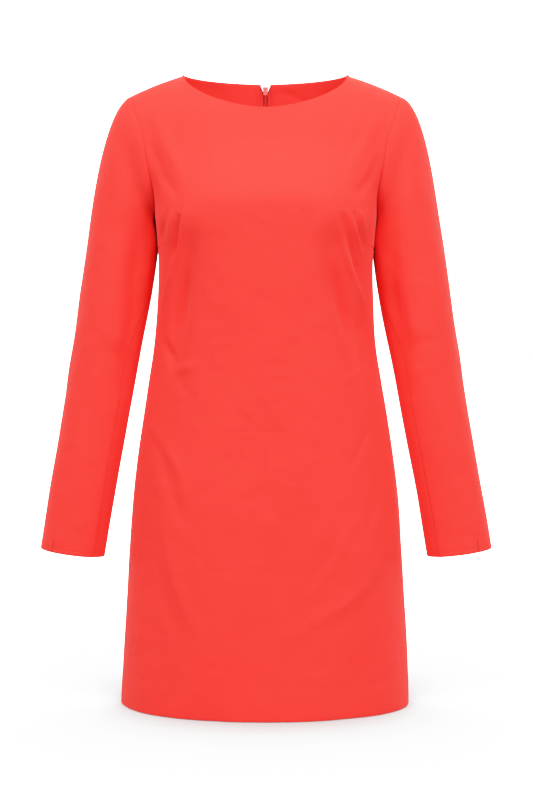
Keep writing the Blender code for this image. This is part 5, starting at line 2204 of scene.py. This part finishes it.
@dataclass
class Dress:
    """The whole dress: builds each piece, gives it its finish and says what it is."""

    form: TorsoForm
    body: Body
    sleeve: Sleeve
    zip: Zip
    thread: Thread
    materials: dict[str, Material] = field(default_factory=dict)

    def mix_finishes(self) -> None:
        """Build the materials."""
        weave, yarn = weave_group(), slub_group()
        for finish in (DRESS_CLOTH, ZIP_TAPE):
            self.materials[finish.name] = finish.material(weave, yarn)
        for finish in (SLIDER_PAINT, COIL_NYLON, SEWING_THREAD):
            self.materials[finish.name] = finish.material()

    def strips(self, name: str, sheets: Sequence[Sheet]) -> Piece:
        """Build seam allowances, ironed open inside a panel, as one piece.

        Args:
            name: the piece's name.
            sheets: the parts of the panel that they lie behind.

        Returns:
            The new piece, dressed.
        """
        parts = []
        for number, sheet in enumerate(sheets):
            laid = sheet.sunk(self.body.cloth_thickness + self.body.allowance_gap)
            laid = replace(laid, thickness=np.full(sheet.seam.shape, self.body.allowance_thickness))
            parts.append(sheet_object(f"{name}_{number}", laid))
        return dressed(joined(name, parts), self.materials["coral cloth"], DRESS_BODY)

    def declare(self, piece: Piece, sheet: Sheet) -> None:
        """Say what a sheet was cut to."""
        width, length, area = sheet.flat_size()
        log.info("%s: cut %.3f by %.3f m, %.4f m2", piece.name, width, length, area)

    def build_body(self) -> dict[str, Sheet]:
        """Build the front and the backs with their seam allowances, and give their sheets.

        Returns:
            The front's and the backs' sheets, by name.
        """
        panels = self.body.panels()
        low = int(np.argmax(panels["front"].surface[:, 0, 2] > self.form.hem_height + self.body.hem_turn_up))
        side_rows = slice(low, self.body.armhole_start + 1)
        reach = self.body.allowance
        for name, sheet in panels.items():
            piece = sheet_object(f"{name}_cloth", sheet, turn_up=self.body.hem_turn_up)
            dressed(piece, self.materials["coral cloth"], DRESS_BODY, name)
            first, last = sheet.edge_columns(reach)
            up = along(sheet.surface, 0)
            top_rows = slice(int(np.argmax((up[-1] - up).mean(axis=1) < reach)), None)
            columns, neck_end = sheet.surface.shape[1], self.body.neck_end
            if name == "front":
                middle = columns // 2
                shoulders = (slice(0, middle - neck_end + 1), slice(middle + neck_end, None))
                places = [(side_rows, first), (side_rows, last), *[(top_rows, part) for part in shoulders]]
            else:
                left = name == "back_left"
                side, centre = (first, last) if left else (last, first)
                on_seam = sheet.surface[:, -1 if left else 0, 2]
                below_notch = int(np.argmax(on_seam > self.body.notch_end_height))
                shoulder = slice(0, columns - neck_end) if left else slice(neck_end, None)
                places = [(side_rows, side), (slice(low, below_notch), centre), (top_rows, shoulder)]
            strips = [sheet.picked(*place) for place in places]
            allowances = self.strips(f"{name}_seam_allowances", strips)
            self.declare(piece, sheet)
        return panels

    def build_sleeves(self) -> None:
        """Build both sleeves with their seam allowances and the stitching of their cuffs."""
        halves = self.body.halves()
        start = self.body.armhole_start
        (front, front_normals), (back, back_normals) = halves[Face.FRONT], halves[Face.BACK]
        armhole = np.concatenate([front[start:, -1], back[start:-1, -1][::-1]])
        armhole_normals = np.concatenate([front_normals[start:, -1], back_normals[start:-1, -1][::-1]])
        for side in Side:
            sheet = self.sleeve.sheet(side, armhole, armhole_normals)
            columns = sheet.surface.shape[1]
            slit = self.sleeve.slit(side, columns)
            name = f"sleeve_{side.word}"
            piece = sheet_object(f"{name}_cloth", sheet, turn_up=self.sleeve.cuff_turn_up, slit=slit)
            dressed(piece, self.materials["coral cloth"], DRESS_BODY, name)
            up = along(sheet.surface, 0).mean(axis=1)
            low, high = self.sleeve.allowance_ends
            seam_rows = slice(int(np.argmax(up > low)), int(np.argmax(up > up[-1] - high)))
            parts = [sheet.picked(seam_rows, edge) for edge in sheet.edge_columns(self.sleeve.allowance)]
            parts.append(sheet.picked(slice(int(np.argmax(up > up[-1] - self.sleeve.head_allowance)), None)))
            allowances = self.strips(f"{name}_seam_allowances", parts)
            stitching = self.cuff_stitches(name, sheet, slit)
            self.declare(piece, sheet)

    def cuff_stitches(self, name: str, sheet: Sheet, slit: Slit) -> Piece:
        """Sew the cuff's hem round and tack the top of its slit.

        Args:
            name: the sleeve's name.
            sheet: the sleeve's sheet.
            slit: its slit.

        Returns:
            The stitches as one piece.
        """
        up = along(sheet.surface, 0).mean(axis=1)
        hem = int(np.argmin(np.abs(up - (self.sleeve.cuff_turn_up - MM))))
        top = int(np.argmin(np.abs(up - slit.length)))
        places: list[Matrix] = []
        for part in (slice(1, slit.column - 1), slice(slit.column + 2, -1)):
            places += self.thread.row(sheet.surface[hem, part], sheet.normals[hem, part])
        for step in (-1, 0, 1):
            row = top + step
            tack = slice(slit.column - 1, slit.column + 2)
            places += self.thread.row(sheet.surface[row, tack], sheet.normals[row, tack], gap=0.1 * MM)[:2]
        stitches = repeated(f"{name}_stitches", self.thread.model(), places)
        return dressed(stitches, self.materials["sewing thread"], DRESS_BODY)

    def build_zip(self, panels: dict[str, Sheet]) -> None:
        """Build the tapes, the coils, the slider and the pull tab.

        Args:
            panels: the front's and the backs' sheets.
        """
        for side in Side:
            sheet = self.zip.tape_sheet(panels[f"back_{side.word}"], side)
            tape = sheet_object(f"zip_tape_{side.word}_cloth", sheet)
            dressed(tape, self.materials["zip tape"], DRESS_BODY, f"zip_tape_{side.word}")
            coil = dressed(self.zip.coil(sheet, side), self.materials["zip coil"], DRESS_BODY)
            run = self.thread.row(*self.zip.stitch_run(sheet, side))
            stitches = repeated(f"zip_tape_{side.word}_stitches", self.thread.model(), run)
            dressed(stitches, self.materials["sewing thread"], DRESS_BODY)
            self.declare(tape, sheet)
        slider = self.zip.slider()
        slider.data.transform(self.zip.place())
        dressed(slider, self.materials["slider paint"], DRESS_BODY, "zip_slider")
        dressed(self.zip.pull(), self.materials["slider paint"], PULL_BODY, "zip_pull")


def main() -> None:
    """Build the dress and the set."""
    logging.basicConfig(level=logging.INFO, format="%(name)s: %(message)s")
    form = TorsoForm(hem_height=-0.879)
    dress = Dress(form=form, body=Body(form=form), sleeve=Sleeve(), zip=Zip(form=form), thread=Thread())
    dress.mix_finishes()
    panels = dress.build_body()
    dress.build_sleeves()
    dress.build_zip(panels)
    Studio().build()


if __name__ == "__main__":
    main()
